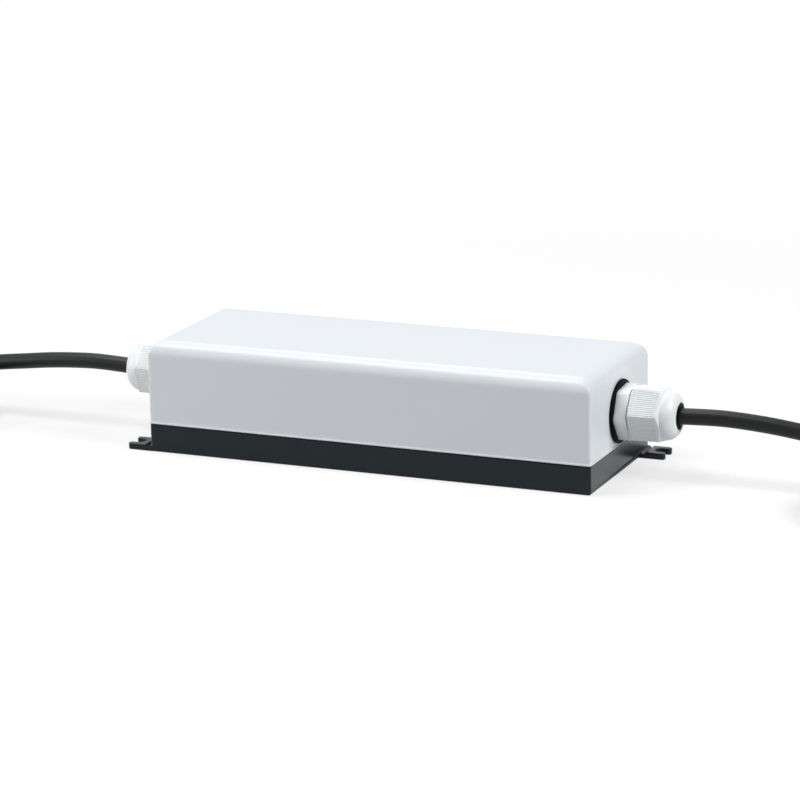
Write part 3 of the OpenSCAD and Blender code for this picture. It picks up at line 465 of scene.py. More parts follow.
def moulded_grain_group():
    """Fine grain of a moulded or pressed surface, and a slow change of its gloss. Noise of the grain's
    size makes a bump of the given depth, and noise eighty times as large moves the roughness."""
    group, given, result = new_group(
        "Moulded grain",
        [("Vector", "Vector", None), ("Grain", "Float", 0.3 * MM), ("Depth", "Float", 0.002 * MM),
         ("Roughness", "Float", 0.4), ("Spread", "Float", 0.05)],
        [("Roughness", "Float"), ("Normal", "Vector")])
    fine = math_node(group, "DIVIDE", 1.0, given.outputs["Grain"])
    coarse = math_node(group, "DIVIDE", fine, 80.0)
    pits = add(group, "ShaderNodeTexNoise", {"Vector": given.outputs["Vector"], "Scale": fine, "Detail": 3.0,
                                             "Roughness": 0.55})
    patches = add(group, "ShaderNodeTexNoise", {"Vector": given.outputs["Vector"], "Scale": coarse,
                                                "Detail": 4.0})
    bump = add(group, "ShaderNodeBump", {"Height": pits.outputs["Fac"], "Distance": given.outputs["Depth"],
                                         "Strength": 1.0})
    both = math_node(group, "ADD", math_node(group, "MULTIPLY", patches.outputs["Fac"], 1.4),
                     math_node(group, "MULTIPLY", pits.outputs["Fac"], 0.6))
    offset = math_node(group, "MULTIPLY", math_node(group, "SUBTRACT", both, 1.0), given.outputs["Spread"])
    group.links.new(math_node(group, "ADD", given.outputs["Roughness"], offset), result.inputs["Roughness"])
    group.links.new(bump.outputs["Normal"], result.inputs["Normal"])
    return group


def tint_drift_group():
    """Slight unevenness of a colour: two sizes of noise make it a little lighter and darker."""
    group, given, result = new_group(
        "Tint drift",
        [("Vector", "Vector", None), ("Color", "Color", (0.8, 0.8, 0.8, 1.0)), ("Patch", "Float", 12 * MM),
         ("Drift", "Float", 0.03)],
        [("Color", "Color")])
    scale = math_node(group, "DIVIDE", 1.0, given.outputs["Patch"])
    broad = add(group, "ShaderNodeTexNoise", {"Vector": given.outputs["Vector"], "Scale": scale,
                                              "Detail": 2.0})
    flecks = add(group, "ShaderNodeTexNoise", {"Vector": given.outputs["Vector"],
                                               "Scale": math_node(group, "MULTIPLY", scale, 40.0),
                                               "Detail": 2.0})
    both = math_node(group, "ADD", broad.outputs["Fac"], flecks.outputs["Fac"])
    swing = math_node(group, "MULTIPLY", math_node(group, "SUBTRACT", both, 1.0), given.outputs["Drift"])
    gain = math_node(group, "ADD", swing, 1.0)
    tinted = add(group, "ShaderNodeMix", {0: 1.0, 6: given.outputs["Color"], 7: gain}, data_type="RGBA",
                 blend_type="MULTIPLY")
    group.links.new(tinted.outputs[2], result.inputs["Color"])
    return group


def fine_lines_group():
    """Fine parallel lines along local Z, such as drawn metal, wound wire or wrapped tape: a wave across
    them, bent a little by noise, gives a mask and a normal."""
    group, given, result = new_group(
        "Fine lines",
        [("Vector", "Vector", None), ("Spacing", "Float", 0.5 * MM), ("Depth", "Float", 0.01 * MM),
         ("Bend", "Float", 0.3)],
        [("Mask", "Float"), ("Normal", "Vector")])
    scale = math_node(group, "DIVIDE", 0.314, given.outputs["Spacing"])
    wave = add(group, "ShaderNodeTexWave", {"Vector": given.outputs["Vector"], "Scale": scale,
                                            "Distortion": given.outputs["Bend"], "Detail": 2.0,
                                            "Detail Scale": 0.6},
               wave_type="BANDS", bands_direction="Z")
    bump = add(group, "ShaderNodeBump", {"Height": wave.outputs["Fac"], "Distance": given.outputs["Depth"],
                                         "Strength": 1.0})
    group.links.new(wave.outputs["Fac"], result.inputs["Mask"])
    group.links.new(bump.outputs["Normal"], result.inputs["Normal"])
    return group


def finish(roughness, spread, grain, depth, drift, specular=0.50, coat=0.0, metallic=0.0):
    """One finish: the grain's size and depth are in millimetres, and the drift is that of the tint."""
    return roughness, spread, grain, depth, drift, specular, coat, metallic


CORE_FINISH = finish(0.35, 0.05, 0.20, 0.0020, 0.05)
CAN_FINISH = finish(0.28, 0.05, 0.60, 0.0030, 0.06, coat=0.3)
FINISHES = {
    "tray_black": finish(0.30, 0.05, 0.35, 0.0030, 0.10, specular=0.20),
    "cover_white": finish(0.32, 0.03, 0.60, 0.0012, 0.008, specular=0.36),
    "gasket_rubber": finish(0.70, 0.06, 0.30, 0.0060, 0.08, specular=0.03),
    "zinc_screw": finish(0.30, 0.08, 0.20, 0.0030, 0.06, metallic=1.0),
    "gland_white": finish(0.38, 0.04, 0.40, 0.0020, 0.012),
    "seal_rubber": finish(0.48, 0.06, 0.30, 0.0030, 0.08, specular=0.03),
    "sheath_black": finish(0.42, 0.06, 0.25, 0.0045, 0.08, specular=0.26),
    "core_brown": CORE_FINISH,
    "core_blue": CORE_FINISH,
    "core_red": CORE_FINISH,
    "core_black": CORE_FINISH,
    "tinned_copper": finish(0.28, 0.08, 0.10, 0.0020, 0.08, metallic=1.0),
    "tie_black": finish(0.38, 0.05, 0.25, 0.0020, 0.06, specular=0.45),
    "board_green": finish(0.40, 0.08, 0.50, 0.0060, 0.14, coat=0.3),
    "terminal_green": finish(0.42, 0.05, 0.30, 0.0030, 0.04),
    "fuse_red": finish(0.35, 0.05, 0.30, 0.0030, 0.05, coat=0.2),
    "disc_blue": finish(0.32, 0.08, 0.50, 0.0080, 0.10, coat=0.3),
    "disc_green": finish(0.38, 0.08, 0.50, 0.0080, 0.10, coat=0.2),
    "film_yellow": finish(0.34, 0.05, 0.30, 0.0030, 0.05, coat=0.2),
    "ferrite": finish(0.62, 0.10, 0.15, 0.0060, 0.16, specular=0.45),
    "copper_wire": finish(0.26, 0.06, 0.20, 0.0020, 0.10, coat=0.4, metallic=1.0),
    "epoxy_black": finish(0.55, 0.06, 0.20, 0.0050, 0.08, specular=0.45),
    "can_black": CAN_FINISH,
    "can_blue": CAN_FINISH,
    "heatsink_grey": finish(0.38, 0.08, 0.15, 0.0030, 0.06, metallic=1.0),
    "bobbin_black": finish(0.45, 0.05, 0.30, 0.0030, 0.06, specular=0.45),
    "tape_yellow": finish(0.30, 0.06, 0.40, 0.0030, 0.06, coat=0.3),
}
# slot: spacing and depth of its fine lines in millimetres, their bend, and how much they darken the colour
LINED = {
    "zinc_screw": (0.25, 0.002, 2.0, 0.10),
    "heatsink_grey": (0.30, 0.003, 1.5, 0.12),
    "copper_wire": (1.10, 0.150, 0.4, 0.55),
    "tape_yellow": (2.20, 0.020, 0.8, 0.18),
    "can_black": (5.00, 0.010, 1.0, 0.10),
    "can_blue": (4.00, 0.010, 1.0, 0.10),
    "ferrite": (3.00, 0.004, 4.0, 0.12),
    "board_green": (1.90, 0.018, 6.0, 0.22),
}
# slot: how much a smooth top skin shows where the surface is seen at a glancing angle
GLANCING = {"tray_black": 0.34}
# slot: which of the settings' colours it takes, instead of the record's
SHOWN_COLOURS = {"cover_white": "cover", "tray_black": "tray", "gland_white": "gland",
                 "seal_rubber": "rubber", "gasket_rubber": "rubber", "sheath_black": "sheath"}
RECORD_COLOURS = {m["slot"]: m["base_color"] for m in frame["record"]["materials"]}


def use_group(tree, name, build, inputs):
    """Places a shared node group in a material. The group is built the first time that one asks for it."""
    group = bpy.data.node_groups.get(name) or build()
    return add(tree, "ShaderNodeGroup", inputs, node_tree=group)


def finish_material(slot, settings, along_piece=False):
    """The material of one of the record's slots. Where it runs along a piece, its grain is drawn out
    along the piece's own uv, as on an extruded sheath."""
    name = slot + ("_drawn_finish" if along_piece else "_finish")
    if name in bpy.data.materials:
        return bpy.data.materials[name]
    roughness, spread, grain, depth, drift, specular, coat, metallic = FINISHES[slot]
    shown = SHOWN_COLOURS.get(slot)
    base = tuple(getattr(settings.colours, shown)) if shown else tuple(RECORD_COLOURS[slot])
    material, tree, shader, coordinates = new_material(name)
    place = coordinates.outputs["Object"]
    if along_piece:
        place = add(tree, "ShaderNodeMapping", {
            "Vector": coordinates.outputs["UV"], "Scale": (1.0, 0.05, 1.0)}).outputs["Vector"]
    surface = use_group(tree, "Moulded grain", moulded_grain_group, {
        "Vector": place, "Grain": grain * MM, "Depth": depth * MM, "Roughness": roughness, "Spread": spread})
    tint = use_group(tree, "Tint drift", tint_drift_group, {
        "Vector": coordinates.outputs["Object"], "Color": base + (1.0,), "Drift": drift})
    body_colour, normal = tint.outputs["Color"], surface.outputs["Normal"]
    if slot in LINED:
        spacing, line_depth, bend, darken = LINED[slot]
        lines = use_group(tree, "Fine lines", fine_lines_group, {
            "Vector": place, "Spacing": spacing * MM, "Depth": line_depth * MM, "Bend": bend})
        shade = math_node(tree, "SUBTRACT", 1.0, math_node(tree, "MULTIPLY", lines.outputs["Mask"], darken))
        mix = add(tree, "ShaderNodeMix", {0: 1.0, 6: body_colour, 7: shade}, data_type="RGBA",
                  blend_type="MULTIPLY")
        body_colour, normal = mix.outputs[2], lines.outputs["Normal"]
    tree.links.new(body_colour, shader.inputs["Base Color"])
    tree.links.new(surface.outputs["Roughness"], shader.inputs["Roughness"])
    tree.links.new(normal, shader.inputs["Normal"])
    shader.inputs["Metallic"].default_value = metallic
    shader.inputs["Specular IOR Level"].default_value = specular
    shader.inputs["Coat Weight"].default_value = coat
    shader.inputs["Coat Roughness"].default_value = 0.12
    if slot in GLANCING:
        facing = add(tree, "ShaderNodeLayerWeight", {"Blend": 0.5})
        gloss = add(tree, "ShaderNodeMapRange", {"Value": facing.outputs["Facing"], "From Min": 0.25,
                                                 "From Max": 0.6, "To Min": 0.0, "To Max": GLANCING[slot]})
        tree.links.new(gloss.outputs["Result"], shader.inputs["Coat Weight"])
        shader.inputs["Coat Roughness"].default_value = 0.25
    material.diffuse_color = base + (1.0,)
    return material


def dress_nodes(names, settings):
    """Gives CAD nodes that keep their own shape the material of their slots."""
    slots = {part["node"]: part["material_slot"] for part in frame["record"]["subparts"]}
    for name in names:
        holder = frame["nodes"][name]
        material = finish_material(slots[name], settings)
        if holder.material_slots:
            for place in holder.material_slots:
                place.material = material
        else:
            holder.data.materials.append(material)


# Pieces


# The free cable's route, as in the CAD model: distance on from its first ring, distance across, height
ROUTE = np.array([
    [0, 0, 23.3], [8, 0, 23.7], [16, 0, 23.9], [26, 0, 23.5], [36, 0, 22.7], [46, 0, 21.5], [56, 0, 20.3],
    [66, 0, 18.9], [76, 0, 17.4], [84, 0, 16.1], [90, 0, 15.2], [97, -1, 14.1], [104, -4.5, 13.1],
    [110, -10.5, 12], [113.9, -20, 10.8]]) * MM
COIL_AT = np.array([90.0, -18.0]) * MM
LEAD_IN_AT = np.array([90.0, -24.0]) * MM
LEAD_IN_RADIUS = 24 * MM
STRIPPED = np.array([[0, 0, 3.6], [3, 0.1, 3.1], [6, 0.5, 2.0], [9, 0.9, 1.3], [11, 1.0, 1.1]]) * MM
STRIPPED_APART = 1.2 * MM
CORES = {"input": (("line", "core_brown"), ("neutral", "core_blue")),
         "output": (("positive", "core_red"), ("negative", "core_black"))}
PATH_STEP = 2 * MM


def turn_about(centre, radius, first, last, height_first, height_last, step=PATH_STEP):
    """Points of a level turn about a centre, with a height that eases from one value to the other."""
    count = int(round(abs(math.radians(last - first)) * radius / step)) + 1
    s = np.linspace(0.0, 1.0, count)
    ease = s * s * (3.0 - 2.0 * s)
    turn = np.radians(first + (last - first) * s)
    return np.stack([centre[0] + radius * np.cos(turn), centre[1] + radius * np.sin(turn),
                     height_first + (height_last - height_first) * ease], axis=-1)


def coil_lean(points, settings):
    """How far each point of the coil sinks: nothing at the tie, which it lies on, and the tie's thickness
    at the far side, where it lies on the floor, in proportion to the distance from the tie."""
    reach = np.clip((points[..., 0] - COIL_AT[0]) / settings.cable.coil_radius, -1.0, 1.0)
    return 0.5 * settings.cable.tie_thickness * (1.0 + reach)


def cable_path(settings):
    """Middle of the free cable from the gland's mouth: the route, a half turn down onto the coil, the
    upper turn, the step down to the lower turn, that turn, and the straight end."""
    cable = settings.cable
    radius, low = cable.coil_radius, cable.coil_lift
    high = low + cable.diameter
    lead_in = turn_about(LEAD_IN_AT, LEAD_IN_RADIUS, 9.5, -90, ROUTE[-1, 2], high)
    lead = curve_through(np.vstack([ROUTE[:-1], lead_in[[0, 5]]]), PATH_STEP)
    keep = lead[:, 1] > lead_in[0, 1] + 0.6 * PATH_STEP
    upper = turn_about(COIL_AT, radius, -90, -300, high, high)[1:]
    step_down = turn_about(COIL_AT, radius, -300, -390, high, low)[1:]
    lower = turn_about(COIL_AT, radius, -390, -630, low, low)[1:]
    tail_x = np.linspace(0.0, cable.tail, int(cable.tail / PATH_STEP) + 1)[1:]
    tail = np.stack([COIL_AT[0] + tail_x, np.full_like(tail_x, COIL_AT[1] + radius),
                     np.full_like(tail_x, low)], axis=-1)
    coil = np.vstack([lead_in, upper, step_down, lower, tail])
    settle = np.clip(np.arange(len(coil)) / (len(lead_in) - 1.0), 0.0, 1.0)
    coil[:, 2] -= coil_lean(coil, settings) * settle
    return np.vstack([lead[keep], coil])


def at_end(points, end, settings):
    """Places points that were laid out from the gland's mouth at that end of the case."""
    placed = points.copy()
    placed[..., 0] = end * (points[..., 0] + settings.cable.start)
    return placed


def tie_piece(name, end, settings):
    """Flat strap round both turns. Its section is a rectangle of the tie's width and thickness with two
    trimmed corners, and it goes round the outline of two circles, one on the other, joined by straight
    sides. A small head stands out on the side towards the case, where the section swells by
    exp(-(height / half_head)^6)."""
    cable = settings.cable
    slack, soft, half_head, head_thickness, head_width = 0.05 * MM, 0.12 * MM, 1.5 * MM, 2.6, 0.45
    radius = cable.diameter / 2 + slack
    low, high = cable.coil_lift, cable.coil_lift + cable.diameter
    side = np.linspace(low, high, 14)[1:-1]
    outline = np.vstack([arc((0.0, high), radius, 0, 180, 40),
                         np.stack([np.full_like(side, -radius), side[::-1]], axis=-1),
                         arc((0.0, low), radius, 180, 360, 40),
                         np.stack([np.full_like(side, radius), side], axis=-1)])
    way = np.roll(outline, -1, axis=0) - np.roll(outline, 1, axis=0)
    outward = np.stack([way[:, 1], -way[:, 0]], axis=-1)
    outward /= np.linalg.norm(outward, axis=1, keepdims=True)
    near_head = np.exp(-((outline[:, 1] - (low + high) / 2) / half_head) ** 6) * (outline[:, 0] < 0)
    thickness = cable.tie_thickness * (1.0 + head_thickness * near_head)
    half_width = cable.tie_width / 2 * (1.0 + head_width * near_head)
    corners = [(-1, 0, 0, 0), (1, 0, 0, 0), (1, 1, 0, 1), (1, 1, 1, 0), (-1, 1, 1, 0), (-1, 1, 0, 1)]
    across, out, trim_across, trim_out = np.array(corners).T[:, None, :]
    lift = out * thickness[:, None] - trim_out * soft
    width = across * (half_width[:, None] - trim_across * soft)
    points = np.stack([outline[:, 0, None] + outward[:, 0, None] * lift, width,
                       outline[:, 1, None] + outward[:, 1, None] * lift], axis=-1)
    points[..., 0] += COIL_AT[0] - cable.coil_radius
    points[..., 1] += COIL_AT[1]
    faces = grid_faces(len(outline), len(corners), closed=True)
    if end > 0:
        faces = faces[:, ::-1]
    return new_piece(name, at_end(points, end, settings).reshape(-1, 3), faces)


def stripped_path(side, settings):
    """Middle of one stripped core, from the sheath's end to its bare strands: the curve through its knots
    on one side or the other, less the coil's lean there, which fades out to the strands."""
    knots = STRIPPED.copy()
    knots[:, 1] = side * (STRIPPED_APART + STRIPPED[:, 1])
    path = curve_through(knots, 0.5 * MM)
    start = np.array([COIL_AT[0] + settings.cable.tail, COIL_AT[1] + settings.cable.coil_radius, 0.0])
    path[:, 2] -= coil_lean(start, settings) * np.linspace(1.0, 0.0, len(path))
    return path + start


def strands_piece(name, end, settings):
    """Bare strands of both cores: six thin tubes in a slow helix, a third of a turn long, round a straight
    seventh. The six lie nearly a strand's diameter from the seventh."""
    cable = settings.cable
    sides, count, outer_strands, helix_turns, apart = 8, 9, 6, 0.35, 0.96
    along = np.linspace(-0.3 * MM, cable.bare_length, count)
    points, faces, caps = [], [], []
    for side in (-1, 1):
        tip = stripped_path(side, settings)[-1]
        for strand in range(outer_strands + 1):
            twist = 2 * math.pi * (strand / outer_strands + helix_turns * np.linspace(0.0, 1.0, count))
            reach = cable.strand * (apart if strand < outer_strands else 0.0)
            path = tip + np.stack([along, reach * np.cos(twist), reach * np.sin(twist)], axis=-1)
            ring, _ = tube(path, cable.strand / 2, sides)
            first = len(points) * count * sides
            points.append(at_end(ring, end, settings))
            faces.append((grid_faces(count, sides) + first)[:, ::-end])
            caps += [first + np.arange(sides)[::end], first + (count - 1) * sides + np.arange(sides)[::-end]]
    return new_piece(name, np.vstack(points), np.vstack(faces), caps)


def case_rows(case, profile, corner):
    """Rows round the case's outline, which is a rectangle with four round corners: row i lies inside the
    outside faces by profile[i, 0], at the height profile[i, 1], with the corner radius corner[i]. The first
    and last point of each corner lie 0.5 mm out on the straight sides, so that these shade flat."""
    steps = np.concatenate([[0.0], np.linspace(0.0, 90.0, 9), [90.0]])
    turn = np.radians((90.0 * np.arange(4)[:, None] + steps).ravel())
    shift = np.tile(np.concatenate([[-0.5], np.zeros(9), [0.5]]) * MM, 4)
    sign_x, sign_y = np.repeat([1, -1, -1, 1], len(steps)), np.repeat([1, 1, -1, -1], len(steps))
    inset, height, corner = profile[:, 0, None], profile[:, 1, None], corner[:, None]
    x = sign_x * (case.case_length / 2 - inset - corner) + corner * np.cos(turn) - shift * np.sin(turn)
    y = sign_y * (case.case_width / 2 - inset - corner) + corner * np.sin(turn) + shift * np.cos(turn)
    return np.stack(np.broadcast_arrays(x, y, height), axis=-1)


def cover_piece(settings):
    """Outer and inner skin of the cover as one closed surface. Its profile of (inset, height) runs from the
    roof over the top edge's arc, down the wall, round the lip, and up the inside. The corner radius grows
    with the inset along the top edge, which makes the soft mitres."""
    case = settings.case
    top, foot, wall, round_top = case.case_top, case.cover_foot, case.wall, case.edge_radius
    soft, lip = case.lip_round, COVER_LIP
    lip_top = foot + case.lip_height
    outer_arc = arc((round_top, top - round_top), round_top, 90, 180, 25)
    lip_profile = np.array([
        [0.0, top - round_top - 0.6 * MM], [0.0, lip_top + soft + 0.5 * MM], [0.0, lip_top + soft],
        [-0.3 * soft, lip_top + 0.3 * soft], [-lip + soft, lip_top],
        [-lip + 0.3 * soft, lip_top - 0.3 * soft], [-lip, lip_top - soft], [-lip, foot + soft],
        [-lip + 0.3 * soft, foot + 0.3 * soft], [-lip + soft, foot], [wall - soft, foot],
        [wall, foot + soft]])
    inner_arc = arc((round_top, top - round_top), round_top - wall, 180, 90, 13)
    profile = np.vstack([[[round_top + 1.0 * MM, top]], outer_arc, lip_profile, inner_arc])
    rise = np.clip(profile[:, 0] / round_top, 0.0, 1.0)
    corner = case.corner_radius + (case.mitre_radius - case.corner_radius) * rise
    corner[-len(inner_arc) - 1:] = case.corner_radius
    points = case_rows(case, profile, corner)
    return closed_rows("cover", points, turned=True)


def bend_between(first, corner, last, count):
    """Points of a soft bend in a profile: (1 - s)^2 first + 2 s (1 - s) corner + s^2 last."""
    s = np.linspace(0.0, 1.0, count)[:, None]
    return (1.0 - s) ** 2 * first + 2.0 * s * (1.0 - s) * corner + s**2 * last


def tray_outside(settings):
    """A closed block with the outside of the tray. The part that it shares with the CAD model's tray has
    soft edges and no lugs. Its profile of (inset, height) runs up from the foot over a chamfer with two
    soft bends, up the wall to the seam, in round the seam's edge, and on up out of the way."""
    case = settings.case
    skin, low, soft, out_of_the_way = 0.005 * MM, 0.003 * MM, 0.1 * MM, 20 * MM
    chamfer, seam, edge = case.foot_chamfer, case.seam, case.seam_round
    under, beside = np.array([skin + chamfer, low]), np.array([skin, low + chamfer])
    slant = soft * math.sqrt(0.5) * np.array([-1.0, 1.0])
    profile = np.vstack([
        under + [[0.6 * MM, 0.0]], bend_between(under + [soft, 0.0], under, under + slant, 4),
        bend_between(beside - slant, beside, beside + [0.0, soft], 4), beside + [[0.0, soft + 0.4 * MM]],
        [[skin, seam - edge - 0.3 * MM]], arc((skin + edge, seam - edge), edge, 180, 90, 5),
        [[skin + edge, out_of_the_way]]])
    points = case_rows(case, profile, np.maximum(case.corner_radius - profile[:, 0], 0.35 * MM))
    return closed_rows("tray outside", points)


def round_bar(radius, low, high, at, axis):
    """A closed round bar along an axis, for joining to or cutting from another piece."""
    sides = 64
    bar = revolve(np.array([[radius, low], [radius, high]]), sides)
    bar = np.roll(bar, {"Z": 0, "X": 1}[axis], axis=-1) + at
    return closed_rows("bar", bar)


def lug_piece(end, settings):
    """A lug with its open slot, laid out from the end wall: first coordinate out from the wall, second
    across from the lug's middle. Its outline is six straight sides joined by the arcs of the prongs' corners
    and of the slot's end. Row i is that outline moved inwards along its normals by the edge's arc."""
    case = settings.case
    root, tip, half, slot = -0.95 * MM, case.lug_tip, case.lug_width / 2, case.slot_width / 2
    reach, edge, side = case.lug_length - tip, case.lug_edge, 0.12 * MM
    pieces = [((reach, -half + tip), tip, -90, 0, 7, 1), ((reach, -slot - tip), tip, 0, 90, 7, 1),
              ((case.slot_at, 0.0), slot, -90, -270, 21, -1),
              ((reach, slot + tip), tip, -90, 0, 7, 1), ((reach, half - tip), tip, 0, 90, 7, 1)]
    outline, outward = [np.array([[root, -half]])], [np.array([[-1.0, -1.0]])]
    for centre, radius, first, last, count, sign in pieces:
        bend = arc(centre, radius, first, last, count)
        out = sign * (bend - centre) / radius
        way = np.stack([-out[:, 1], out[:, 0]], axis=-1)
        outline += [bend[:1] - side * way[:1], bend, bend[-1:] + side * way[-1:]]
        outward += [out[:1], out, out[-1:]]
    outline = np.vstack(outline + [np.array([[root, half]])])
    outward = np.vstack(outward + [np.array([[-1.0, 1.0]])])
    lower = arc((edge, edge), edge, 270, 180, 6)
    upper = arc((edge, case.lug_thickness - edge), edge, 180, 90, 6)
    profile = np.vstack([
        [[edge + side, 0.0]], lower, [[0.0, edge + side], [0.0, case.lug_thickness - edge - side]], upper,
        [[edge + side, case.lug_thickness]]])
    inset, height = profile[:, 0, None], profile[:, 1, None]
    out = outline[None, :, 0] - inset * outward[None, :, 0]
    across = outline[None, :, 1] - inset * outward[None, :, 1]
    middle = case.case_width / 2 - half
    x, y = end * (case.case_length / 2 + out), end * (middle + across)
    lug = closed_rows("lug", np.stack(np.broadcast_arrays(x, y, height), axis=-1))
    combine(lug, [snap_groove(end, settings)], "DIFFERENCE")
    return lug


def snap_groove(end, settings):
    """A bar that cuts the groove across a lug's top. Its under side is a V with a round bottom and soft
    shoulders, the smooth smaller one of the lug's top and of top - depth + sqrt(u^2 + r^2) - r, where u is
    the distance from the groove's middle and r the bottom's radius."""
    case = settings.case
    top, depth, bottom, reach = case.lug_thickness, case.groove_depth, 0.1 * MM, 1.0 * MM
    u = np.linspace(-depth - 0.7 * MM, depth + 0.7 * MM, 41)
    valley = top - depth + np.sqrt(u**2 + bottom**2) - bottom
    under = smooth_min(np.full_like(u, top + 0.03 * MM), valley, 0.3 * MM)
    section = np.vstack([np.stack([u, under], axis=-1), [[u[-1], top + MM], [u[0], top + MM]]])
    x = end * (case.case_length / 2 + case.groove_at) + end * section[:, 0]
    side = end * case.case_width / 2
    rings = [np.column_stack([x, np.full(len(x), y), section[:, 1]])
             for y in (side - end * (case.lug_width + reach), side + end * reach)]
    return closed_rows("groove", np.stack(rings), turned=True)


def combine(piece, bars, operation):
    """Joins bars to a piece or cuts them from it, and removes them."""
    for bar in bars:
        step = piece.modifiers.new("combine", "BOOLEAN")
        step.operation = operation
        step.solver = "EXACT"
        step.object = bar
    mesh = bpy.data.meshes.new_from_object(piece.evaluated_get(bpy.context.evaluated_depsgraph_get()))
    piece.modifiers.clear()
    old = piece.data
    piece.data = mesh
    bpy.data.meshes.remove(old)
    for bar in bars:
        bpy.data.objects.remove(bar)
    mesh.name = piece.name
    soften(mesh, 32.0)


def hexagon_outline(flats, corner, ribs, depth):
    """Points of a ribbed hexagon with round corners. Along each sixth, from one corner's middle to the
    next, the grooves are depth times ((1 - cos(2 pi ribs s)) / 2)^1.3, square to the outline, where s runs
    from 0 to 1. Each corner's middle is the crest of a rib."""
    inner = flats / 2 - corner
    half = inner * math.tan(math.radians(30))
    reach = half + math.radians(30) * corner
    s = np.linspace(-1.0, 1.0, ribs * 8 + 1)[:-1]
    lean = np.sign(s) * np.clip(np.abs(s) * reach - half, 0.0, None) / corner
    groove = depth * (0.5 - 0.5 * np.cos(math.pi * ribs * (s + 1.0))) ** 1.3
    x = inner + (corner - groove) * np.cos(lean)
    y = np.clip(s * reach, -half, half) + (corner - groove) * np.sin(lean)
    turn = np.radians(60.0 * np.arange(6))[:, None]
    return np.stack([(x * np.cos(turn) - y * np.sin(turn)).ravel(),
                     (x * np.sin(turn) + y * np.cos(turn)).ravel()], axis=-1)


def nut_piece(name, end, turn, settings):
    """Ribbed domed nut. Outside, its radius is the smaller of the ribbed hexagon's and of a turned
    profile: a small chamfer, a cylinder over the corners, a cone to the dome, and the dome's arc, which is
    a quarter of an ellipse. The grooves run out before the cone. Inside, it is a turned profile: the mouth,
    the clamping cone and the thread's bore."""
    gland = settings.gland
    start, dome_x = gland.nut_start, gland.nut_start + gland.nut_hexagon + gland.nut_runout
    hexagon_end = gland.nut_start + gland.nut_hexagon
    over = gland.nut_flats / 2 / math.cos(math.radians(30))
    mouth, bore = gland.mouth / 2, gland.bore / 2
    soft, blend = 0.35 * MM, 0.35 * MM
    dome_in = gland.dome_base - gland.dome_reach
    dome_end = math.degrees(math.acos((mouth + 0.6 * soft - dome_in) / gland.dome_reach))
    dome = arc((0.0, 0.0), 1.0, 0, dome_end, 26) * [gland.dome_reach, gland.dome_length] + [dome_in, dome_x]
    tip = dome[-1, 1]
    edge = np.array([[mouth + 0.25 * soft, tip - 0.05 * soft], [mouth + 0.05 * soft, tip - 0.3 * soft],
                     [mouth, tip - soft]])
    clear = over + 0.2 * MM
    back = np.array([[-1.35, 0.0], [-1.05, 0.06], [-0.3, 0.36], [0.0, 0.5]]) * MM + [clear, start]
    chamfer = np.vstack([[[bore + 0.4 * MM, start]], back])
    along = np.concatenate([[start + 0.6 * MM], np.linspace(
        hexagon_end - gland.rib_fade - 0.2 * MM, hexagon_end - 0.1 * MM, 9)])
    straight = np.stack([np.full_like(along, clear), along], axis=-1)
    part = np.linspace(0.0, 1.0, 14)[1:-1, None]
    cone = (1.0 - part) * [clear, hexagon_end] + part * [gland.dome_base, dome_x]
    cone_end = dome_x + 2.75 * MM
    cone_start = gland.washer_thickness + gland.flange + gland.neck + 0.25 * MM
    inside = np.array([[mouth, cone_end + 0.1 * MM], [mouth + 0.5 * MM, cone_end], [bore, cone_start],
                       [bore, start + 0.4 * MM]])
    profile = np.vstack([chamfer, straight, cone, dome, edge, inside])
    turned = np.zeros(len(profile), dtype=bool)
    turned[0] = True
    turned[len(chamfer) + len(straight) + len(cone) + len(dome):] = True
    plain = hexagon_outline(gland.nut_flats, gland.nut_corner, gland.ribs, 0.0)
    ribbed = hexagon_outline(gland.nut_flats, gland.nut_corner, gland.ribs, gland.rib_depth)
    left = np.clip((hexagon_end - 0.2 * MM - profile[:, 1]) / gland.rib_fade, 0.0, 1.0)[:, None, None]
    outline = plain + (ribbed - plain) * left * left * (3.0 - 2.0 * left)
    draft = gland.nut_draft * np.clip((profile[:, 1, None] - start) / gland.nut_hexagon, 0.0, 1.0)
    reach = np.hypot(outline[..., 0], outline[..., 1]) - draft
    turn_at = np.arctan2(outline[..., 1], outline[..., 0]) + turn
    limit = profile[:, 0, None]
    radius = np.where(turned[:, None], limit, smooth_min(reach, limit, blend))
    local = np.stack(np.broadcast_arrays(radius * np.cos(turn_at), radius * np.sin(turn_at),
                                         profile[:, 1, None]), axis=-1)
    return gland_ring(name, local, end, settings)


def body_piece(name, end, settings):
    """The body of a gland, from its CAD node, moved inwards by what the washer is thinner than the node's.
    The hexagon's edges are rounded by the full width, and those of the neck and the thread by a fifth."""
    gland = settings.gland
    body = merged_copy(f"{name}_gland_body", f"{name}_body")
    thinner = node_span(f"{name}_gland_washer", 0) - gland.washer_thickness
    body.data.transform(Matrix.Translation((-end * thinner, 0.0, 0.0)))
    inner = settings.case.case_length / 2 + gland.washer_thickness - 0.1 * MM
    outer = inner + gland.flange + 0.2 * MM
    soft_edges(body, gland.body_edge, lambda at: np.where(
        (np.abs(at[:, 0]) > inner) & (np.abs(at[:, 0]) < outer), 1.0, 0.2))
    return body


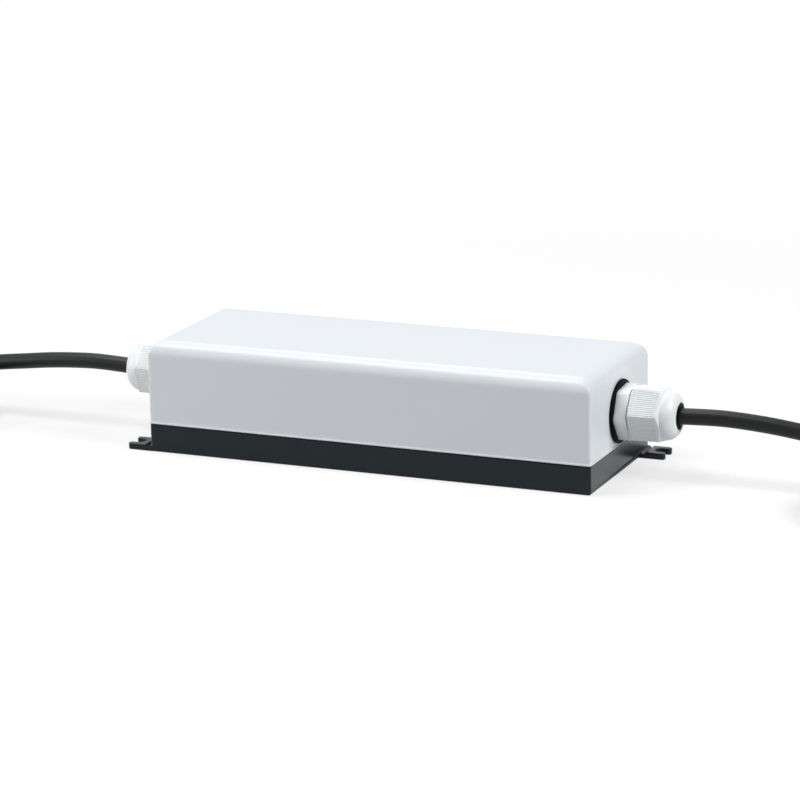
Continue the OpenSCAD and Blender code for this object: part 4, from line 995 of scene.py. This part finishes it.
def washer_piece(name, end, settings):
    """Rubber washer: a turned ring whose rim is rounded by two arcs, and whose outer face has a fine
    moulded line, which is a V in the profile."""
    gland = settings.gland
    outer, hole = gland.washer / 2, gland.washer_hole / 2
    thick, soft = gland.washer_thickness, gland.washer_round
    line = outer - soft - 0.35 * MM
    face = np.array([[line + 0.16 * MM, thick], [line, thick - 0.09 * MM], [line - 0.16 * MM, thick]])
    profile = np.vstack([
        [[hole, 0.0]], [[outer - soft, 0.0]], arc((outer - soft, soft), soft, -80, 0, 8),
        arc((outer - soft, thick - soft), soft, 0, 90, 9), face, [[hole, thick]]])
    return gland_ring(name, revolve(profile, 160), end, settings)


def seal_piece(name, end, settings):
    """Rubber seal that the nut squeezes onto the cable. A turned profile: a sleeve inside the fingers, a
    cone where they lean in, and a round nose that stands almost level with the nut's mouth."""
    gland = settings.gland
    low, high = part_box(f"{name.split('_')[0]}_gland_seal")
    wall = settings.case.case_length / 2
    first = min(abs(low[0]), abs(high[0])) - wall
    mouth = gland.nut_start + gland.nut_hexagon + gland.nut_runout + gland.dome_length
    sleeve = (high[2] - low[2]) / 2
    hole, nose = settings.cable.diameter / 2 + 0.03 * MM, gland.mouth / 2 - 0.12 * MM
    lean = gland.washer_thickness + gland.flange + gland.neck
    tip = mouth - 0.5 * MM
    round_nose = 0.55 * MM
    profile = np.vstack([
        [[hole, first], [sleeve, first], [sleeve, lean]],
        [[nose, lean + 4.2 * MM], [nose, tip - round_nose]],
        arc((nose - round_nose, tip - round_nose), round_nose, 10, 90, 7),
        [[hole + 0.45 * MM, tip], [hole + 0.12 * MM, tip - 0.15 * MM], [hole, tip - 0.5 * MM]]])
    return gland_ring(name, revolve(profile, 96), end, settings)


class PieceOperator:
    """What all the steps share"""

    bl_options = {"REGISTER", "UNDO"}


class POWER_SUPPLY_OT_camera(PieceOperator, bpy.types.Operator):
    """Places the camera at the photograph's viewing angle"""

    bl_idname = "power_supply.camera"
    bl_label = "Camera"

    def execute(self, context):
        studio = context.scene.power_supply.studio
        yaw, pitch, roll = studio.yaw, studio.pitch, studio.roll
        ahead = np.array([-math.sin(yaw) * math.cos(pitch), math.cos(yaw) * math.cos(pitch),
                          -math.sin(pitch)])
        right = np.cross(ahead, [0.0, 0.0, 1.0])
        right /= np.linalg.norm(right)
        up = np.cross(right, ahead)
        rolled = math.cos(roll) * right + math.sin(roll) * up
        upright = -math.sin(roll) * right + math.cos(roll) * up
        lens = bpy.data.cameras.new("camera")
        lens.sensor_width = 36.0
        lens.lens = studio.lens
        lens.clip_start = 0.01
        lens.clip_end = 50.0
        camera = bpy.data.objects.new("camera", lens)
        camera.matrix_world = placed_axes(studio.camera_at, rolled, upright, -ahead)
        context.scene.collection.objects.link(camera)
        context.scene.camera = camera
        return {"FINISHED"}


class POWER_SUPPLY_OT_cables(PieceOperator, bpy.types.Operator):
    """Lays both free cables, their ties and their stripped ends"""

    bl_idname = "power_supply.cables"
    bl_label = "Cables"

    def execute(self, context):
        settings = context.scene.power_supply
        cable = settings.cable
        for name, end in ENDS.items():
            path = at_end(cable_path(settings), end, settings)
            lead = tube_piece(f"{name}_lead", path, cable.diameter / 2, 32)
            finish_piece(lead, "sheath_black", settings, f"{name}_cable", f"{name}_coil", along_piece=True)
            strap = tie_piece(f"{name}_strap", end, settings)
            ends = [finish_piece(strap, "tie_black", settings, f"{name}_tie")]
            for side, (core, slot) in zip((-1, 1), CORES[name]):
                core_path = at_end(stripped_path(side, settings), end, settings)
                piece = tube_piece(f"{name}_{core}_stripped", core_path, cable.core / 2, 20)
                ends.append(finish_piece(piece, slot, settings, f"{name}_{core}_core"))
            strands = strands_piece(f"{name}_strands", end, settings)
            ends.append(finish_piece(strands, "tinned_copper", settings, f"{name}_tinned_ends"))
        return {"FINISHED"}


class POWER_SUPPLY_OT_cover(PieceOperator, bpy.types.Operator):
    """Builds the white cover with its screw pillars and gland holes"""

    bl_idname = "power_supply.cover"
    bl_label = "Cover"

    def execute(self, context):
        settings = context.scene.power_supply
        case = settings.case
        cover = cover_piece(settings)
        across = case.case_length / 2 - case.pillar_inset, case.case_width / 2 - case.pillar_inset
        spots = [np.array([x * across[0], y * across[1], 0.0]) for x in (-1, 1) for y in (-1, 1)]
        inside_top = case.case_top - case.wall / 2
        combine(cover, [round_bar(case.pillar / 2, case.cover_foot, inside_top, at, "Z") for at in spots],
                "UNION")
        bores = [round_bar(case.pilot / 2, case.cover_foot - MM, case.pilot_top, at, "Z") for at in spots]
        middle = np.array([0.0, 0.0, settings.gland.axis_height])
        bores += [round_bar(case.gland_hole / 2, end * case.case_length / 2 - 4 * MM,
                            end * case.case_length / 2 + 4 * MM, middle, "X") for end in ENDS.values()]
        combine(cover, bores, "DIFFERENCE")
        finish_piece(cover, "cover_white", settings, "cover_shell")
        return {"FINISHED"}


class POWER_SUPPLY_OT_tray(PieceOperator, bpy.types.Operator):
    """Builds the dark base tray with its lugs, and dresses the gasket and the screws"""

    bl_idname = "power_supply.tray"
    bl_label = "Base tray"

    def execute(self, context):
        settings = context.scene.power_supply
        tray = merged_copy("base_tray", "tray")
        combine(tray, [tray_outside(settings)], "INTERSECT")
        combine(tray, [lug_piece(end, settings) for end in ENDS.values()], "UNION")
        finish_piece(tray, "tray_black", settings)
        dress_nodes(["lid_gasket", "cover_screws"], settings)
        return {"FINISHED"}


class POWER_SUPPLY_OT_glands(PieceOperator, bpy.types.Operator):
    """Builds both cable glands: washer, hexagon, seal and ribbed nut"""

    bl_idname = "power_supply.glands"
    bl_label = "Cable glands"

    def execute(self, context):
        settings = context.scene.power_supply
        gland = settings.gland
        for name, end in ENDS.items():
            nut = nut_piece(f"{name}_nut", end, getattr(gland, f"{name}_turn"), settings)
            if end < 0:
                nut.data.transform(Matrix.Translation((gland.input_further, 0.0, 0.0)))
            finish_piece(nut, "gland_white", settings, f"{name}_gland_nut")
            washer = washer_piece(f"{name}_washer", end, settings)
            finish_piece(washer, "seal_rubber", settings, f"{name}_gland_washer")
            finish_piece(body_piece(name, end, settings), "gland_white", settings)
            seal = seal_piece(f"{name}_seal", end, settings)
            finish_piece(seal, "seal_rubber", settings, f"{name}_gland_seal")
            dress_nodes([f"{name}_gland_locknut"], settings)
        return {"FINISHED"}


class POWER_SUPPLY_OT_circuit(PieceOperator, bpy.types.Operator):
    """Dresses the wires, the circuit board and every part on it"""

    bl_idname = "power_supply.circuit"
    bl_label = "Wiring and circuit board"

    def execute(self, context):
        settings = context.scene.power_supply
        dress_nodes([name for name, node in frame["nodes"].items() if not node.hide_render], settings)
        return {"FINISHED"}


# lamp: width of its square face, its place and the point that it is aimed at
LAMPS = {
    "overhead": (0.55, (-0.44, -0.14, 1.10), (0.0, 0.0, 0.02)),
    "back": (0.45, (-0.35, 0.62, 0.80), (0.0, 0.0, 0.02)),
    "left": (0.40, (-0.86, -0.50, 0.32), (-0.1, 0.0, 0.02)),
    "side": (0.45, (0.80, -0.10, 0.58), (0.12, 0.0, 0.0)),
}


class POWER_SUPPLY_OT_stage(PieceOperator, bpy.types.Operator):
    """Sets up the floor, the lamps and the white surroundings"""

    bl_idname = "power_supply.stage"
    bl_label = "Floor and lamps"

    def execute(self, context):
        settings = context.scene.power_supply
        studio = settings.studio
        reach = 4.0
        corners = np.array([[-reach, -reach], [reach, -reach], [reach, reach], [-reach, reach]])
        points = np.column_stack([corners, np.full(4, -0.05 * MM)])
        floor = new_piece("floor", points, np.arange(4)[None, :])
        floor.data.materials.append(floor_material(settings))
        for name, (size, place, target) in LAMPS.items():
            softbox(context, name, getattr(studio, f"{name}_watts"), size, place, target)
        white_surroundings(context, studio.room_light)
        context.scene.view_settings.view_transform = "Standard"
        return {"FINISHED"}


def floor_material(settings):
    """Pale floor. Where it is seen or mirrored, it is white and two thirds of that white are its own, so the
    shadow stays soft. All of it is its own where the lamps don't reach. What is mirrored has none of
    its own under the case and up to 3 mm round it: painted shade, which the tray's foot mirrors as a dark
    line, as dark as the floor's real shadow there."""
    material, tree, shader, coordinates = new_material("pale_floor")
    rays = tree.nodes.new("ShaderNodeLightPath")
    tint = use_group(tree, "Tint drift", tint_drift_group, {
        "Vector": coordinates.outputs["Object"], "Color": tuple(settings.colours.floor) + (1.0,),
        "Patch": 0.4, "Drift": 0.004})
    looks = math_node(tree, "MAXIMUM", rays.outputs["Is Camera Ray"], rays.outputs["Is Glossy Ray"])
    looks = math_node(tree, "MAXIMUM", looks, rays.outputs["Is Transmission Ray"])
    seen = add(tree, "ShaderNodeMix", {0: looks, 6: tint.outputs["Color"],
                                       7: (1.0, 1.0, 1.0, 1.0)}, data_type="RGBA")
    tree.links.new(seen.outputs[2], shader.inputs["Base Color"])
    shader.inputs["Roughness"].default_value = 0.9
    shader.inputs["Specular IOR Level"].default_value = 0.0
    away = add(tree, "ShaderNodeVectorMath", {0: coordinates.outputs["Object"]}, operation="LENGTH")
    own = add(tree, "ShaderNodeMapRange", {"Value": away.outputs["Value"], "From Min": 0.22, "From Max": 0.5,
                                           "To Min": 0.66, "To Max": 1.0}, interpolation_type="SMOOTHSTEP")
    # Painted shade: mirrored rays lose the floor's glow under the case and within 3 mm of its outline, so the
    # tray's foot mirrors a dark line, as dark as the real shadow there; the camera still sees the glow.
    spot = add(tree, "ShaderNodeSeparateXYZ", {"Vector": coordinates.outputs["Object"]})
    outside = [math_node(tree, "SUBTRACT", math_node(tree, "ABSOLUTE", spot.outputs[axis], 0.0), size / 2)
               for axis, size in (("X", settings.case.case_length), ("Y", settings.case.case_width))]
    clear = add(tree, "ShaderNodeMapRange", {"Value": math_node(tree, "MAXIMUM", *outside), "From Min": 0.0,
                                             "From Max": 3 * MM})
    clear = math_node(tree, "MAXIMUM", clear.outputs["Result"], rays.outputs["Is Camera Ray"])
    glow = add(tree, "ShaderNodeEmission", {"Color": (1.0, 1.0, 1.0, 1.0), "Strength": 1.0})
    share = math_node(tree, "MULTIPLY", math_node(tree, "MULTIPLY", looks, own.outputs["Result"]), clear)
    mix = add(tree, "ShaderNodeMixShader", {0: share, 1: shader.outputs["BSDF"], 2: glow.outputs["Emission"]})
    tree.links.new(mix.outputs["Shader"], tree.nodes["Material Output"].inputs["Surface"])
    return material


def softbox(context, name, watts, size, place, target):
    """A square area lamp that points at a target, with its upper edge as good as level."""
    light = bpy.data.lights.new(name, "AREA")
    light.energy = watts
    light.size = size
    lamp = bpy.data.objects.new(name, light)
    back = np.array(place) - np.array(target)
    back /= np.linalg.norm(back)
    right = np.cross([0.0, 1.0, 0.02], back)
    right /= np.linalg.norm(right)
    lamp.matrix_world = placed_axes(place, right, np.cross(back, right), back)
    context.scene.collection.objects.link(lamp)


def white_surroundings(context, strength):
    """A world that is white where it is seen or mirrored, and gives an even light of a given strength."""
    world = bpy.data.worlds.new("surroundings")
    world.use_nodes = True
    context.scene.world = world
    tree = world.node_tree
    tree.nodes.clear()
    white = (1.0, 1.0, 1.0, 1.0)
    light = add(tree, "ShaderNodeBackground", {"Color": white, "Strength": strength})
    rays = tree.nodes.new("ShaderNodeLightPath")
    mirrored = math_node(tree, "MAXIMUM", rays.outputs["Is Glossy Ray"], rays.outputs["Is Transmission Ray"])
    dimmed = math_node(tree, "SUBTRACT", 1.0, math_node(tree, "MULTIPLY", mirrored, 0.25))
    seen = add(tree, "ShaderNodeBackground", {"Color": white, "Strength": dimmed})
    shown = math_node(tree, "MAXIMUM", rays.outputs["Is Camera Ray"], mirrored)
    mix = add(tree, "ShaderNodeMixShader", {0: shown, 1: light.outputs[0], 2: seen.outputs[0]})
    add(tree, "ShaderNodeOutputWorld", {"Surface": mix.outputs["Shader"]})


STEPS = [POWER_SUPPLY_OT_camera, POWER_SUPPLY_OT_cables, POWER_SUPPLY_OT_cover, POWER_SUPPLY_OT_tray,
         POWER_SUPPLY_OT_glands, POWER_SUPPLY_OT_circuit, POWER_SUPPLY_OT_stage]


class POWER_SUPPLY_PT_steps(bpy.types.Panel):
    """Lists the steps that build the power supply, and its sizes"""

    bl_idname = "POWER_SUPPLY_PT_steps"
    bl_label = "Power supply"
    bl_space_type = "VIEW_3D"
    bl_region_type = "UI"
    bl_category = "Power supply"

    def draw(self, context):
        for step in STEPS:
            self.layout.operator(step.bl_idname)
        settings = context.scene.power_supply
        for group in (settings.case, settings.gland, settings.cable, settings.colours, settings.studio):
            box = self.layout.box()
            for name in group.__annotations__:
                box.prop(group, name)


CLASSES = [CaseSizes, GlandSizes, CableSizes, Colours, Studio, PowerSupplySettings, *STEPS,
           POWER_SUPPLY_PT_steps]


def register():
    """Makes the steps, the panel and the settings known to Blender."""
    for made in CLASSES:
        bpy.utils.register_class(made)
    bpy.types.Scene.power_supply = PointerProperty(type=PowerSupplySettings)


def unregister():
    """Takes the steps, the panel and the settings away again."""
    del bpy.types.Scene.power_supply
    for made in reversed(CLASSES):
        bpy.utils.unregister_class(made)


def main():
    """Builds the whole power supply."""
    register()
    for step in STEPS:
        getattr(bpy.ops.power_supply, step.bl_idname.split(".")[1])()
    bpy.context.view_layer.update()


if __name__ == "__main__":
    main()
